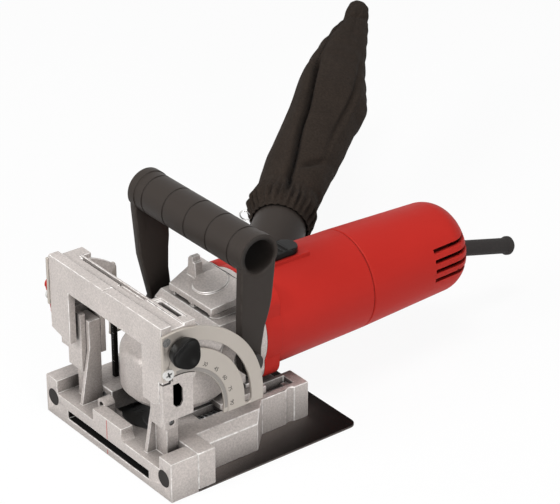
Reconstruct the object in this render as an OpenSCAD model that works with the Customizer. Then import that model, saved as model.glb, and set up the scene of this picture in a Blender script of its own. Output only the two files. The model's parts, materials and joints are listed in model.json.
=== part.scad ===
// Biscuit joiner: base with a height-adjustable tilting fence, a plunging motor unit and a dust bag.
// Origin: middle of the front face's bottom edge. X is to the right seen from the front,
// Y runs back along the motor, Z is up, and the sole lies on Z = 0. Millimetres.

/* [Base] */
// Width of the base across its corner blocks
base_w = 136; // [132:1:144]
// Depth of the front casting, from its front face to the seam
front_d = 20; // [19:0.5:22]
// Height of the corner blocks and of the rails behind them
block_h = 27; // [26.5:0.5:29]
// Width of one corner block
block_w = 12.5; // [10:0.5:13.5]
// Height of the ledge between the corner blocks
ledge_h = 18; // [16.5:0.5:18.5]
// Width of the raised block that carries the centre line
centre_w = 31; // [24:1:36]
// Depth of that raised block
centre_d = 9; // [6:0.5:10]
// Length from the front face to the back of the sole plate
sole_end = 144; // [138:1:160]
// Thickness of the sole plate
sole_t = 1.6; // [1.2:0.1:2]
// Corner radius of the sole plate
sole_r = 5.5; // [2:0.5:8]
// Diameter of an anti-slip pad
pad_d = 11.5; // [8:0.5:12]
// Depth of the pad's seat
pad_depth = 3; // [2:0.5:3.5]
// Where the rails end at the back
rail_end = 125; // [123:1:130]
// Outer face of a rail from the middle
rail_x = 42; // [41:0.5:44]

/* [Blade] */
// Diameter of the cutter
blade_d = 100; // [96:1:102]
// Thickness of the cutter at its teeth
blade_t = 4; // [3:0.2:4.4]
// Bore of the cutter
blade_bore = 22; // [18:1:24]
// Number of cutter teeth
blade_teeth = 6; // [4:1:12]
// Height of the cutter's middle above the sole
blade_z = 8; // [7.5:0.1:8.5]
// How far the cutter sits behind the front face at rest
blade_gap = 2; // [1:0.5:3]
// Depth of cut at full plunge
cut_depth = 14; // [10:0.5:15]
// Width of the blade slot in the front face
slot_w = 88; // [84:1:92]
// Height of that slot
slot_h = 6; // [5:0.2:7]

/* [Slide] */
// Diameter of a guide rod
rod_d = 6; // [5:0.5:7]
// Guide rod from the middle
rod_x = 31.5; // [31:0.5:32]
// Height of the rods' axis
rod_z = 20; // [19.5:0.5:20.5]
// Length of a slide lug on its rod
lug_l = 34; // [28:1:36]
// Wire diameter of a return spring
spring_wire = 0.8; // [0.6:0.1:0.9]
// Number of curls in a return spring
spring_turns = 16; // [8:1:17]

/* [Columns and carriage] */
// Inner face of a column from the middle
col_x = 33.5; // [33:0.5:35]
// Width of a column
col_w = 14.5; // [12:0.5:15]
// Front face of a column
col_y = 11.5; // [10.5:0.5:12]
// Top of a column
col_top = 75.5; // [66:0.5:76]
// Thickness of a gusset
gusset_t = 3; // [2:0.5:4]
// Top of a gusset
gusset_top = 56; // [44:1:60]
// Wall of the carriage around a column
jaw_t = 3.5; // [3:0.1:3.6]
// Underside of the carriage's lips
lip_z = 40; // [39:0.5:42]
// Underside of the carriage's side blocks
cheek_z = 51; // [48:0.5:54]

/* [Fence] */
// Width of the fence
fence_w = 119.6; // [116:0.4:124]
// Top of the fence's front rim
fence_top = 115.4; // [113.4:0.2:118]
// Thickness of the fence plate
fence_t = 5; // [4:0.2:5.4]
// Width of one leg of the fence
leg_w = 20.8; // [18:0.4:22]
// Upper edge of the window between the legs
window_top = 96.5; // [94:0.5:100]
// Lower end of the legs
leg_z = 60.5; // [59:0.5:64]
// Depth of the flange on top
flange_d = 25; // [22:0.5:27]
// Tilt axis behind the front face
pivot_y = 11.5; // [11:0.25:12]
// Tilt axis above the sole
pivot_z = 49; // [48:0.5:50]
// Outer radius of the protractor
arc_out = 62.5; // [60:0.5:64]
// Inner radius of the protractor
arc_in = 33.3; // [31:0.1:35]
// Radius of the middle of its slot
arc_slot = 51; // [50:0.25:52]
// Width of its slot
arc_slot_w = 5.2; // [5:0.1:6]
// Thickness of the protractor
arc_t = 2; // [1.4:0.1:2.4]

/* [Gear case] */
// Radius of the gear case's round nose
nose_r = 34; // [32:0.5:34.5]
// Top of the nose
nose_top = 66; // [65:0.5:68]
// Front of the gear case's top plate
top_y = 64.5; // [63:0.5:67]
// Height of the top plate at its front
top_z = 90.4; // [89:0.2:92]
// Slope of the top plate
top_slope = 14; // [8:1:16]
// Diameter of the spindle
spindle_d = 12; // [11:0.5:13]
// Teeth of the crown gear
crown_teeth = 33; // [27:1:39]
// Teeth of the pinion
pinion_teeth = 12; // [9:1:14]

/* [Motor] */
// Height of the motor axis
motor_z = 62; // [61.5:0.25:62.5]
// Where the motor shells start
motor_y = 98; // [97:0.5:100]
// Seam between the two shells
seam_y = 186; // [184:1:200]
// Back of the motor
motor_end = 277; // [274:1:290]
// Radius of the front shell at its front
motor_r = 35.2; // [34.6:0.2:35.6]
// Radius of the shells at the seam
seam_r = 33.8; // [33.4:0.2:34.4]
// Radius of the rear shell at its back
rear_r = 31; // [30:0.5:32]
// Rounding at the back of the rear shell
rear_round = 19; // [12:1:22]
// Wall of the shells
shell_t = 2.5; // [2:0.1:2.7]
// Radius of the armature core
core_r = 19.5; // [16:0.5:20]
// Travel of the power slider
switch_travel = 8; // [5:1:9]

/* [Handle] */
// Radius of the grip
grip_r = 13.5; // [12:0.5:14.5]
// Half the width of the handle
grip_x = 58; // [56:0.5:58.5]
// Grip axis behind the front face
grip_y = 74; // [73:0.5:75.5]
// Grip axis above the sole
grip_z = 139; // [134:1:150]
// Thickness of a handle leg
bail_t = 6; // [5:0.5:7]
// Number of grooves around the grip
grooves = 5; // [3:1:7]

/* [Dust outlet] */
// Outer radius of the dust tube
tube_r = 19; // [17:0.5:20]
// Wall of the dust tube
tube_t = 2; // [1.5:0.1:2.5]
// Dust tube from the middle, on the left
tube_x = 55; // [54:0.5:57]
// Turn of the tube to the left, from straight back
tube_turn = 38.3; // [34:0.1:42]
// Rise of the tube above level
tube_rise = 13.7; // [10:0.1:18]
// Length of the tube beyond its elbow
tube_l = 99; // [90:1:108]
// Length of the bag beyond the tube
bag_l = 255; // [235:1:270]
// Greatest width of the bag
bag_w = 54; // [46:1:62]
// Greatest height of the bag
bag_t = 50; // [42:1:56]

/* [Hidden] */
$fn = 64;

// Colours of the finishes
cast_grey = [0.78, 0.77, 0.75];
machined = [0.80, 0.78, 0.74];
steel = [0.62, 0.63, 0.65];
zinc = [0.86, 0.86, 0.84];
black = [0.08, 0.08, 0.08];
charcoal = [0.22, 0.20, 0.19];
red = [0.74, 0.17, 0.15];
copper = [0.72, 0.42, 0.25];
brass = [0.78, 0.62, 0.30];

// Overlap of a cut past the face that it opens
over = 1;
// Gap between flat sliding faces
slide_gap = 0.3;
// Radial clearance of a turning fit
turn_gap = 0.04;
// Gap between neighbours that only pass each other
pass_gap = 0.6;

half_w = base_w / 2;
block_x = half_w - block_w;
plunge = blade_gap + cut_depth;
blade_y = blade_gap + blade_d / 2;
chamber_r = blade_d / 2 + 3;
chamber_top = blade_z + 5;
front_wall = 4;
floor_t = 3.4;
side_wall = 2;
wall_x = chamber_r + side_wall;
wall_ease = 6;

// Rear casting
ear_end = front_d + 13;
wall_end = blade_y + 23;
step_end = blade_y + 36;
rail_in = 23.5;
channel_w = 10;
web_d = 6;
channel_front = front_d + web_d;
channel_back = rail_end - 8;
roof_z = block_h - 2;
channel_floor = chamber_top + 1.5;
rear_bar_y = blade_y + chamber_r + 1;
rod_r = rod_d / 2;
outlet_front = blade_y + 3;
outlet_back = blade_y + 28;
outlet_half = 7;
groove_y = 110.5;
groove_r = 4;
groove_out = 2.4;

// Sole screws: places from the middle and the front
screw_r = 1.9;
head_r = 3.4;
sole_screw_xy = [
  [half_w - 7, front_d + 6.4], [(rod_x + channel_w / 2 + rail_x) / 2, 100],
  [(rod_x + channel_w / 2 + rail_x) / 2, rail_end - 6]
];

// Slide
flange_t = 6;
case_flange_y = motor_y - flange_t;
lug_y = blade_y + 10;
lug_end = lug_y + lug_l;
// The spring's channel is closed above, as far as the lugs never come
roof_end = lug_y - plunge - 1.5;
lug_w = channel_w - 1;
plate_z = block_h + pass_gap;
plate_t = 4;
plate_top = plate_z + plate_t;
plate_x = 37;
plate_front = lug_y - 2;
plate_end = case_flange_y - slide_gap;
hub_r = 25;
cover_hub_r = 14.5;
cover_t = 4.4;
cover_r = 30;
case_z = plate_top + cover_t;
nut_t = 4.6;
nut_gap = 0.25;

// Spindle train
seat_r = 15;
seat_t = 3;
seat_z = blade_z + blade_t / 2;
spindle_r = spindle_d / 2;
lower_bearing_z = case_z - 10;
bearing_h = 8;
lower_bearing_r = 11;
upper_bearing_r = 8;
upper_bearing_h = 6;
spindle_top = nose_top - 2;
upper_shaft_r = 5;
upper_bearing_z = spindle_top - upper_bearing_h - 0.5;
crown_r = 24;
crown_in = 16;
crown_t = 8;
tooth_h = 2;
pinion_r = 7.8;
mesh_gap = 0.2;
crown_face = motor_z - pinion_r - mesh_gap;
pinion_front = blade_y + 14;
pinion_l = 11;
cavity_r = 29;

// Motor
case_back = motor_y;
flange_half = 32;
flange_round = 12;
lobe_l = 12;
shaft_r = 4;
front_bearing_y = motor_y - 3;
front_bearing_l = 9;
front_bearing_r = 13;
rear_bearing_l = 8;
rear_bearing_r = 9;
rear_bearing_y = motor_end - 32;
fan_y = front_bearing_y + front_bearing_l + 6;
fan_l = 8;
fan_r = 27;
coil_front = fan_y + fan_l + 14;
coil_l = 46;
coil_r = 28;
air_gap = 0.8;
comm_y = coil_front + coil_l + 22;
comm_l = 17;
comm_r = 12;
brush_w = 9;
brush_out = 26;
switch_y = rear_bearing_y - 26;
rib_t = 3;
slider_y = 118;
slider_l = 29;
slider_w = 16;
slider_h = 4;
slider_z = motor_z + motor_r + 0.9;
stem_w = 6;
rod_bar_z = motor_z + coil_r + 0.4;
rod_bar_h = 1.8;
rod_drop_y = coil_front + coil_l + switch_travel + 1.2;
rod_low_z = motor_z + 22;
vent_pitch = 6.7;
vent_h = 2.8;
vent_z = motor_z + 14;
vent_y = 240;

// Carriage, fence and controls
jaw_x = col_x + col_w + slide_gap;
cheek_out = fence_w / 2 - 0.4;
fin_x = cheek_out - 2.8;
jaw_front = col_y - slide_gap - jaw_t;
jaw_back = front_d + slide_gap + jaw_t;
jaw_side = jaw_x + jaw_t;
cheek_y = 23.4;
jaw_top = 80;
lip_back = 15.7;
rim_d = 7.5;
rim_drop = 2.7;
deck_t = 3.5;
deck_z = fence_top - rim_drop;
sector_out = deck_z - deck_t - pivot_z - 2.2;
sector_in = 36;
sector_from = 50;
sector_to = 94;
beam_z = fence_top - 17.4;
beam_h = 10;
beam_t = 5.3;
fin_front = 1.2;
fin_top = 76.4;
fence_y = 1;
window_x = fence_w / 2 - leg_w;
arc_bottom = 43.5;
arc_x = fence_w / 2;
stud_r = 2.4;
shoe_gap = 0.3;
shoe_t = 3.4;
shoe_from = 68;
shoe_to = 97.5;
stud_boss_r = pivot_y - fence_y - fence_t - slide_gap;
left_slot = 40;
left_out = 47;
tab_y = 51;
tab_z = 94.6;
knob_x = arc_x + arc_t + 1.2;
knob_t = 9.5;
lobe_r = 5.8;
lobe_at = 5;
knob_flare = 2;
knob_turn = -27;
lever_x = arc_x + arc_t + 1.4;
lever_t = 8;
lever_y = 16;
lever_z = 69;

// Handle
bail_foot_z = 54;
bail_foot_x = 50;
bail_foot_hold = 70;
bail_knee_z = 98;
bail_knee_x = 55.2;
bail_straight_z = 130;
mount_y = grip_y;
mount_z = 63;
boss_r = 9;
bail_screw_r = 4;
groove_pitch = 22;
groove_deep = 0.7;

// Dust outlet
duct_r = 10;
duct_z = 13;
flange_l = 3;
flange_x = tube_x - rail_x - 0.5;
bend_y = outlet_back + duct_r + 1;
bend_ease = 0.2;
elbow_y = 153;
elbow_z = tube_r + 9.8;
duct_end_r = duct_r + 3.5;
duct_rise = atan2(elbow_z - duct_z, elbow_y - bend_y);
duct_l = norm([elbow_z - duct_z, elbow_y - bend_y]);
outlet_top = block_h - 4.5;
chute_screw_r = 1.3;
chute_head_r = 2.1;
chute_screw_x = duct_r + 0.3;
chute_screw_z = duct_z + 6.5;
collar_l = 16;
collar_t = 2.2;
collar_gap = 0.35;

// Height scale
scale_x = 37;
scale_w = 3.3;
scale_y = 32;
scale_t = 3;
scale_top = 84;
marks = 10;
mark_z = 38;
mark_pitch = 4;
mark_w = 0.6;
mark_deep = 0.3;
mark_long = 2.6;
mark_short = 1.7;

// Depth turret
turret_x = 47;
turret_z = 35.5;
turret_r = 7;
turret_y = lug_y - 2;
turret_l = 7;
stop_back = turret_y - plunge - 0.5;
stop_t = 4;
stop_top = turret_z - 3;

// Boxes, bars and prisms placed by their limits
module span(x0, x1, y0, y1, z0, z1) translate([x0, y0, z0]) cube([x1 - x0, y1 - y0, z1 - z0]);
module bar_x(x0, x1, r, y, z) translate([x0, y, z]) rotate([0, 90, 0]) cylinder(r = r, h = x1 - x0);
module bar_y(y0, y1, r, x, z) translate([x, y0, z]) rotate([-90, 0, 0]) cylinder(r = r, h = y1 - y0);
module bar_z(z0, z1, r, x, y) translate([x, y, z0]) cylinder(r = r, h = z1 - z0);
// A profile in Y and Z drawn out along X, and one in X and Z drawn out along Y
module along_x(x0, x1) translate([x0, 0, 0]) rotate([90, 0, 90]) linear_extrude(x1 - x0) children();
module along_y(y0, y1) translate([0, y1, 0]) rotate([90, 0, 0]) linear_extrude(y1 - y0) children();
// A profile of radius and Y turned about the motor axis
module about_motor() translate([0, 0, motor_z]) rotate([-90, 0, 0]) rotate_extrude() children();
module both() for (s = [0, 1]) mirror([s, 0, 0]) children();
module left() mirror([1, 0, 0]) children();

// Room swept by the cutter from rest to full plunge
module blade_path(r, z0, z1) {
  bar_z(z0, z1, r, 0, blade_y);
  bar_z(z0, z1, r, 0, blade_y - plunge);
  span(-r, r, blade_y - plunge, blade_y, z0, z1);
}

// Base

module front_casting() {
  boss_x = -17;
  boss_z = 25;
  boss_r = 4.6;
  boss_front = 8;
  boss_back = 15;
  mouth_r = 20;
  fillet = 4;
  color(cast_grey) difference() {
    union() {
      span(-half_w, half_w, 0, front_d, 0, ledge_h);
      both() {
        span(block_x, half_w, 0, front_d, 0, block_h);
        span(col_x, col_x + col_w, col_y, front_d, floor_t, col_top);
        along_x(col_x, col_x + gusset_t)
          polygon([[4.5, ledge_h], [col_y, gusset_top], [col_y, ledge_h]]);
      }
      span(-centre_w / 2, centre_w / 2, 0, centre_d, floor_t, block_h - over);
      along_y(0, centre_d) translate([centre_w / 2, ledge_h]) difference() {
        translate([-over, -over]) square(fillet + over);
        translate([fillet, fillet]) circle(fillet);
      }
      bar_y(boss_front, boss_back, boss_r, boss_x, boss_z);
      span(boss_x - boss_r, boss_x + boss_r, boss_front, boss_back, ledge_h - over, boss_z);
    }
    span(-slot_w / 2, slot_w / 2, -over, front_d + over, blade_z - slot_h / 2, blade_z + slot_h / 2);
    intersection() {
      blade_path(chamber_r, floor_t, chamber_top);
      span(-half_w, half_w, front_wall, front_d + over, 0, ledge_h);
    }
    bar_z(chamber_top - over, ledge_h + over, mouth_r, 0, blade_y - plunge);
    both() bar_y(-over, pad_depth, pad_d / 2, pad_x(), pad_z());
    bar_y(boss_front - over, boss_back + over, boss_r / 2, boss_x, boss_z);
  }
}
function pad_x() = half_w - 8;
function pad_z() = block_h / 2;

module rear_casting() {
  color(cast_grey) difference() {
    union() {
      both() translate([0, 0, sole_t]) linear_extrude(block_h - sole_t) polygon([
        [rail_in, front_d], [half_w, front_d], [half_w, ear_end], [wall_x, ear_end],
        [wall_x, wall_end], [rail_x, step_end], [rail_x, rail_end], [rail_in, rail_end]
      ]);
      span(-rail_in - over, rail_in + over, rear_bar_y, rail_end, sole_t, channel_floor);
      span(-half_w, -rail_x, outlet_front, outlet_back, sole_t, outlet_top);
    }
    blade_path(chamber_r, 0, chamber_top);
    both() {
      span(rod_x - channel_w / 2, rod_x + channel_w / 2, channel_front, channel_back, channel_floor, roof_z);
      span(rod_x - channel_w / 2, rod_x + channel_w / 2, roof_end, channel_back, roof_z - over, block_h + over);
      bar_y(front_d - over, rail_end + over, rod_r + turn_gap, rod_x, rod_z);
      bar_z(0, block_h + over, groove_r, rail_x + groove_out, groove_y);
      for (p = sole_screw_xy) bar_z(0, 12, screw_r + turn_gap, p[0], p[1]);
    }
    span(-tube_x - outlet_half, -tube_x + outlet_half, outlet_front + 5, outlet_back + over,
      floor_t, duct_z + outlet_half);
    for (s = [-1, 1]) bar_y(outlet_back - 8, outlet_back + over, chute_screw_r + turn_gap,
      -tube_x + s * chute_screw_x, chute_screw_z);
    span(-half_w - over, -rail_x, outlet_back, step_end + over, 0, block_h + over);
    along_y(ear_end, step_end) polygon([
      [wall_x - wall_ease - over, block_h + over], [wall_x + over, block_h + over],
      [wall_x + over, block_h - wall_ease - over]
    ]);
  }
}

module sole_plate() {
  color(black) difference() {
    linear_extrude(sole_t) {
      translate([-half_w, front_d]) square([base_w, sole_end - sole_r - front_d]);
      translate([-half_w + sole_r, front_d]) square([base_w - 2 * sole_r, sole_end - front_d]);
      for (s = [-1, 1]) translate([s * (half_w - sole_r), sole_end - sole_r]) circle(sole_r);
    }
    both() for (p = sole_screw_xy) translate([p[0], p[1], -over])
      cylinder(r1 = head_r + over, r2 = screw_r, h = sole_t + over);
  }
}

module sole_screws() {
  color(steel) both() for (p = sole_screw_xy) translate([p[0], p[1], 0]) {
    cylinder(r1 = head_r - turn_gap, r2 = screw_r - turn_gap, h = sole_t);
    cylinder(r = screw_r - turn_gap, h = 10);
  }
}

module anti_slip_pads() {
  color(charcoal) both() bar_y(0, pad_depth, pad_d / 2 - turn_gap, pad_x(), pad_z());
}

module guide_rods() {
  color(steel) both() bar_y(front_d + over, rail_end - over, rod_r, rod_x, rod_z);
}

module rod_nuts() {
  color(zinc) both() difference() {
    translate([rod_x, channel_back - nut_t, rod_z]) rotate([-90, 0, 0]) cylinder(r = channel_w / 2 - nut_gap, h = nut_t, $fn = 6);
    bar_y(channel_back - nut_t - over, channel_back + over, rod_r + turn_gap, rod_x, rod_z);
  }
}

// Return springs: one unbroken wire each, eight rings to a curl
spring_front = channel_front + slide_gap + spring_wire / 2;
spring_back = lug_y - slide_gap - spring_wire / 2;
spring_r = rod_r + 0.5 + spring_wire / 2;
rings_per_turn = 8;
wire_sides = 6;
spring_rings = spring_turns * rings_per_turn;
function spring_point(i) = [
  spring_r * cos(i * 360 / rings_per_turn),
  spring_front + (spring_back - spring_front) * i / spring_rings,
  spring_r * sin(i * 360 / rings_per_turn)
];
function wire_point(i, k) =
  let (a = i * 360 / rings_per_turn, b = k * 360 / wire_sides, r = spring_wire / 2)
  spring_point(i) + [r * cos(b) * cos(a), r * sin(b), r * cos(b) * sin(a)];
spring_gap = min([for (i = [0:rings_per_turn])
  norm(spring_point(i + rings_per_turn) - spring_point(i))]) - spring_wire;
echo(spring_gap = spring_gap);
assert(spring_gap > 0.4, "The curls of a return spring touch");

module spring() {
  points = [for (i = [0:spring_rings]) for (k = [0:wire_sides - 1]) wire_point(i, k)];
  sides = [for (i = [0:spring_rings - 1]) for (k = [0:wire_sides - 1]) for (t = [0, 1])
    let (a = i * wire_sides + k, b = i * wire_sides + (k + 1) % wire_sides)
    t == 0 ? [a, b + wire_sides, b] : [a, a + wire_sides, b + wire_sides]];
  caps = [for (k = [1:wire_sides - 2]) for (e = [0, 1])
    let (n = spring_rings * wire_sides) e == 0 ? [0, k, k + 1] : [n, n + k + 1, n + k]];
  polyhedron(points = points, faces = concat(sides, caps));
}

module return_springs() {
  color(steel) for (s = [-1, 1]) translate([s * rod_x, 0, rod_z]) spring();
}

module height_scale() {
  color(black) left() difference() {
    span(scale_x, scale_x + scale_w, scale_y, scale_y + scale_t, block_h, scale_top);
    for (i = [0:marks - 1])
      span(scale_x - over, scale_x + (i % 5 == 0 ? mark_long : mark_short), scale_y - over, scale_y + mark_deep,
        mark_z + mark_pitch * i, mark_z + mark_pitch * i + mark_w);
  }
}

// Screwed-on post that the turret's pins meet
module depth_stop() {
  color(steel) span(-turret_x - stop_t, -turret_x + stop_t, stop_back - stop_t, stop_back, block_h, stop_top);
}

// Dust outlet, on the left

module duct_frame() translate([-tube_x, bend_y, duct_z]) rotate([duct_rise - 90, 0, 0]) children();
module tube_frame() translate([-tube_x, elbow_y, elbow_z]) rotate([tube_rise - 90, 0, tube_turn]) children();

module chute_solid(trim) {
  bar_y(outlet_back, bend_y, duct_r - trim, -tube_x, duct_z);
  duct_frame() {
    sphere(r = duct_r + bend_ease - trim);
    cylinder(r1 = duct_r - trim, r2 = duct_end_r - trim, h = duct_l);
  }
  tube_frame() {
    sphere(r = tube_r - trim);
    cylinder(r = tube_r - trim, h = tube_l + (trim > 0 ? over : 0));
  }
}

module dust_chute() {
  color(charcoal) difference() {
    union() {
      chute_solid(0);
      span(-tube_x - flange_x, -tube_x + flange_x, outlet_back, outlet_back + flange_l, sole_t + over, outlet_top);
    }
    chute_solid(tube_t);
    bar_y(outlet_back - over, bend_y, duct_r - tube_t, -tube_x, duct_z);
    for (s = [-1, 1])
      bar_y(outlet_back - over, outlet_back + flange_l + over, chute_screw_r + turn_gap,
        -tube_x + s * chute_screw_x, chute_screw_z);
  }
}

module chute_screws() {
  color(zinc) for (s = [-1, 1]) {
    x = -tube_x + s * chute_screw_x;
    bar_y(outlet_back - 6, outlet_back + flange_l + over, chute_screw_r - turn_gap, x, chute_screw_z);
    bar_y(outlet_back + flange_l, outlet_back + flange_l + 1.6, chute_head_r, x, chute_screw_z);
  }
}

module bag_collar() {
  color(black) tube_frame() translate([0, 0, tube_l - collar_l]) difference() {
    cylinder(r = tube_r + collar_gap + collar_t, h = collar_l);
    translate([0, 0, -over]) cylinder(r = tube_r + collar_gap, h = collar_l + 2 * over);
  }
}

// The bag is drawn out through oval rings, wide above the neck and narrow at the tip
bag_rings = 12;
bag_sides = 20;
// Share of the full width at each twelfth of its length
bag_swell = [0.87, 0.85, 0.90, 0.93, 0.95, 0.97, 1, 0.93, 0.77, 0.62, 0.48, 0.35, 0.13];
function bag_point(i, k) =
  let (t = i / bag_rings, b = k * 360 / bag_sides, s = bag_swell[i])
  [bag_w / 2 * s * cos(b), bag_t / 2 * s * sin(b), bag_l * t];

module dust_bag() {
  points = [for (i = [0:bag_rings]) for (k = [0:bag_sides - 1]) bag_point(i, k)];
  sides = [for (i = [0:bag_rings - 1]) for (k = [0:bag_sides - 1]) for (t = [0, 1])
    let (a = i * bag_sides + k, b = i * bag_sides + (k + 1) % bag_sides)
    t == 0 ? [a, b + bag_sides, b] : [a, a + bag_sides, b + bag_sides]];
  caps = [for (k = [1:bag_sides - 2]) for (e = [0, 1])
    let (n = bag_rings * bag_sides) e == 0 ? [0, k, k + 1] : [n, n + k + 1, n + k]];
  color(black) tube_frame() translate([0, 0, tube_l + slide_gap]) polyhedron(points = points, faces = concat(sides, caps));
}

module bag_ring() {
  ring_r = 4;
  ring_wire = 0.6;
  color(zinc) tube_frame()
    translate([-tube_r - collar_gap - collar_t - ring_r - ring_wire - 0.1, 0, tube_l - collar_l / 2])
      rotate_extrude() translate([ring_r, 0]) circle(ring_wire, $fn = 16);
}

// Plunge unit

module slide_bracket() {
  color(cast_grey) difference() {
    union() {
      span(-plate_x, plate_x, plate_front, plate_end, plate_z, plate_top);
      bar_z(plate_z, plate_top, hub_r, 0, blade_y);
      both() span(rod_x - lug_w / 2, rod_x + lug_w / 2, lug_y, lug_end, channel_floor + over, plate_top);
      span(-turret_x - turret_r, -plate_x + over, lug_y + 6, lug_y + 14, plate_z, plate_top);
      span(-turret_x - turret_r, -turret_x + turret_r, lug_y + 6, lug_y + 10, plate_z, turret_z + turret_r);
    }
    both() bar_y(lug_y - over, lug_end + over, rod_r + turn_gap, rod_x, rod_z);
    bar_z(plate_z - over, plate_top + over, cover_hub_r + turn_gap, 0, blade_y);
    bar_y(lug_y, lug_end, screw_r + turn_gap, -turret_x, turret_z);
  }
}

module bearing_cover() {
  color(cast_grey) difference() {
    union() {
      bar_z(plate_top, case_z, cover_r, 0, blade_y);
      bar_z(lower_bearing_z - 2.4, plate_top + over, cover_hub_r, 0, blade_y);
    }
    bar_z(lower_bearing_z, case_z + over, lower_bearing_r + turn_gap, 0, blade_y);
    bar_z(lower_bearing_z - 4, lower_bearing_z + over, spindle_r + 1.5, 0, blade_y);
  }
}

module spindle_bearings() {
  color(steel) {
    difference() {
      bar_z(lower_bearing_z, lower_bearing_z + bearing_h, lower_bearing_r, 0, blade_y);
      bar_z(lower_bearing_z - over, lower_bearing_z + bearing_h + over, spindle_r + turn_gap, 0, blade_y);
    }
    difference() {
      bar_z(upper_bearing_z, upper_bearing_z + upper_bearing_h, upper_bearing_r, 0, blade_y);
      bar_z(upper_bearing_z - over, spindle_top + over, upper_shaft_r + turn_gap, 0, blade_y);
    }
  }
}

// Outline of the flange between gear case and motor: a disc with four corner lobes
module flange_outline() {
  corner = flange_half - flange_round;
  translate([0, motor_z]) {
    circle(motor_r);
    square([2 * flange_half, 2 * corner], center = true);
    square([2 * corner, 2 * flange_half], center = true);
    for (sx = [-1, 1]) for (sz = [-1, 1]) translate([sx * corner, sz * corner]) circle(flange_round);
  }
}
function top_at(y) = top_z + (y - top_y) * tan(top_slope);

module gear_top() {
  plate_back = case_flange_y + over;
  intersection() {
    along_x(-half_w, half_w) polygon([
      [top_y, top_at(top_y) - 5], [top_y, top_at(top_y)],
      [plate_back, top_at(plate_back)], [plate_back, top_at(plate_back) - 5]
    ]);
    linear_extrude(2 * top_z) polygon([
      [-22, top_y], [22, top_y], [29, plate_back], [-29, plate_back]
    ]);
  }
}

// Plan of the shoulder behind the nose, with rounded front corners
module shoulder_plan(half, front, back, r) {
  translate([-half + r, front]) square([2 * (half - r), back - front]);
  translate([-half, front + r]) square([2 * half, back - front - r]);
  for (s = [-1, 1]) translate([s * (half - r), front + r]) circle(r);
}

module gear_housing() {
  round = 8;
  body_x = 31;
  neck_x = 23;
  neck_y = top_y + 1.5;
  shoulder_z = top_z - 7.4;
  spot_y = 81;
  horn_x = -15;
  back = case_flange_y + over;
  color(cast_grey) difference() {
    union() {
      translate([0, blade_y, case_z]) rotate_extrude() {
        square([nose_r, nose_top - case_z - round]);
        square([nose_r - round, nose_top - case_z]);
        translate([nose_r - round, nose_top - case_z - round]) circle(round);
      }
      intersection() {
        along_x(-body_x, body_x) polygon([
          [blade_y, case_z], [blade_y, nose_top - 1], [blade_y + 4, nose_top + 3], [top_y - 5, shoulder_z - 4],
          [top_y, shoulder_z], [back, shoulder_z], [back, plate_top],
          [blade_y + nose_r - 2, plate_top], [blade_y + nose_r - 2, case_z]
        ]);
        linear_extrude(2 * top_z) shoulder_plan(body_x, blade_y, back, 9);
      }
      translate([0, 0, shoulder_z - over]) linear_extrude(top_z - shoulder_z - 2) shoulder_plan(neck_x, neck_y, back, 5);
      intersection() {
        along_x(-neck_x, neck_x) polygon([
          [neck_y + 5, shoulder_z], [neck_y + 5, top_z - 4], [back, top_at(back) - 4], [back, shoulder_z]
        ]);
        linear_extrude(2 * top_z) shoulder_plan(neck_x, neck_y, back, 5);
      }
      gear_top();
      translate([0, spot_y, top_at(spot_y) - 2]) rotate([top_slope, 0, 0]) cylinder(r = 11.5, h = 3.4);
      along_y(spot_y - 4, spot_y + 2) translate([horn_x, top_at(spot_y)]) polygon([
        [-5, -4], [-3.8, 11], [-2, 13], [1, 13], [1.6, 9.6], [3.4, 9.6], [5, -4]
      ]);
      along_y(case_flange_y, case_back) flange_outline();
      both() bar_x(body_x - over, bail_foot_x - bail_t, boss_r, mount_y, mount_z);
    }
    bar_z(case_z - over, nose_top - 6, cavity_r, 0, blade_y);
    bar_z(upper_bearing_z - over, spindle_top + 0.4, upper_bearing_r + turn_gap, 0, blade_y);
    bar_y(pinion_front - 4, case_back + over, pinion_r + 2.2, 0, motor_z);
    bar_y(front_bearing_y, case_back + over, front_bearing_r + turn_gap, 0, motor_z);
    both() {
      bar_x(bail_foot_x - bail_t - 15, bail_foot_x, bail_screw_r + turn_gap, mount_y, mount_z);
      span(2, neck_x - 4.5, top_y - over, neck_y + 8, shoulder_z, top_z - 4.2);
    }
    left() bar_x(cavity_r - over, nose_r + over, lock_r + turn_gap, blade_y, lock_z);
    for (p = shell_screw_xz) bar_y(case_flange_y - over, case_back + over, screw_r + 0.3, p[0], p[1]);
    both() for (sz = [-1, 1]) span(shell_screw_at - head_r - 0.5, half_w, case_flange_y - 8, case_flange_y,
      motor_z + sz * shell_screw_at - head_r - 0.5, motor_z + sz * shell_screw_at + head_r + 0.5);
  }
}

// Shell screws sit in the corner lobes of the flange
shell_screw_at = flange_half - flange_round + 3.5;
shell_screw_xz = [for (sx = [-1, 1]) for (sz = [-1, 1])
  [sx * shell_screw_at, motor_z + sz * shell_screw_at]];

module motor_bearings() {
  color(steel) for (b = [[front_bearing_y, front_bearing_l, front_bearing_r], [rear_bearing_y, rear_bearing_l, rear_bearing_r]])
    difference() {
      bar_y(b[0], b[0] + b[1], b[2], 0, motor_z);
      bar_y(b[0] - over, b[0] + b[1] + over, shaft_r + turn_gap, 0, motor_z);
    }
}

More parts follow.
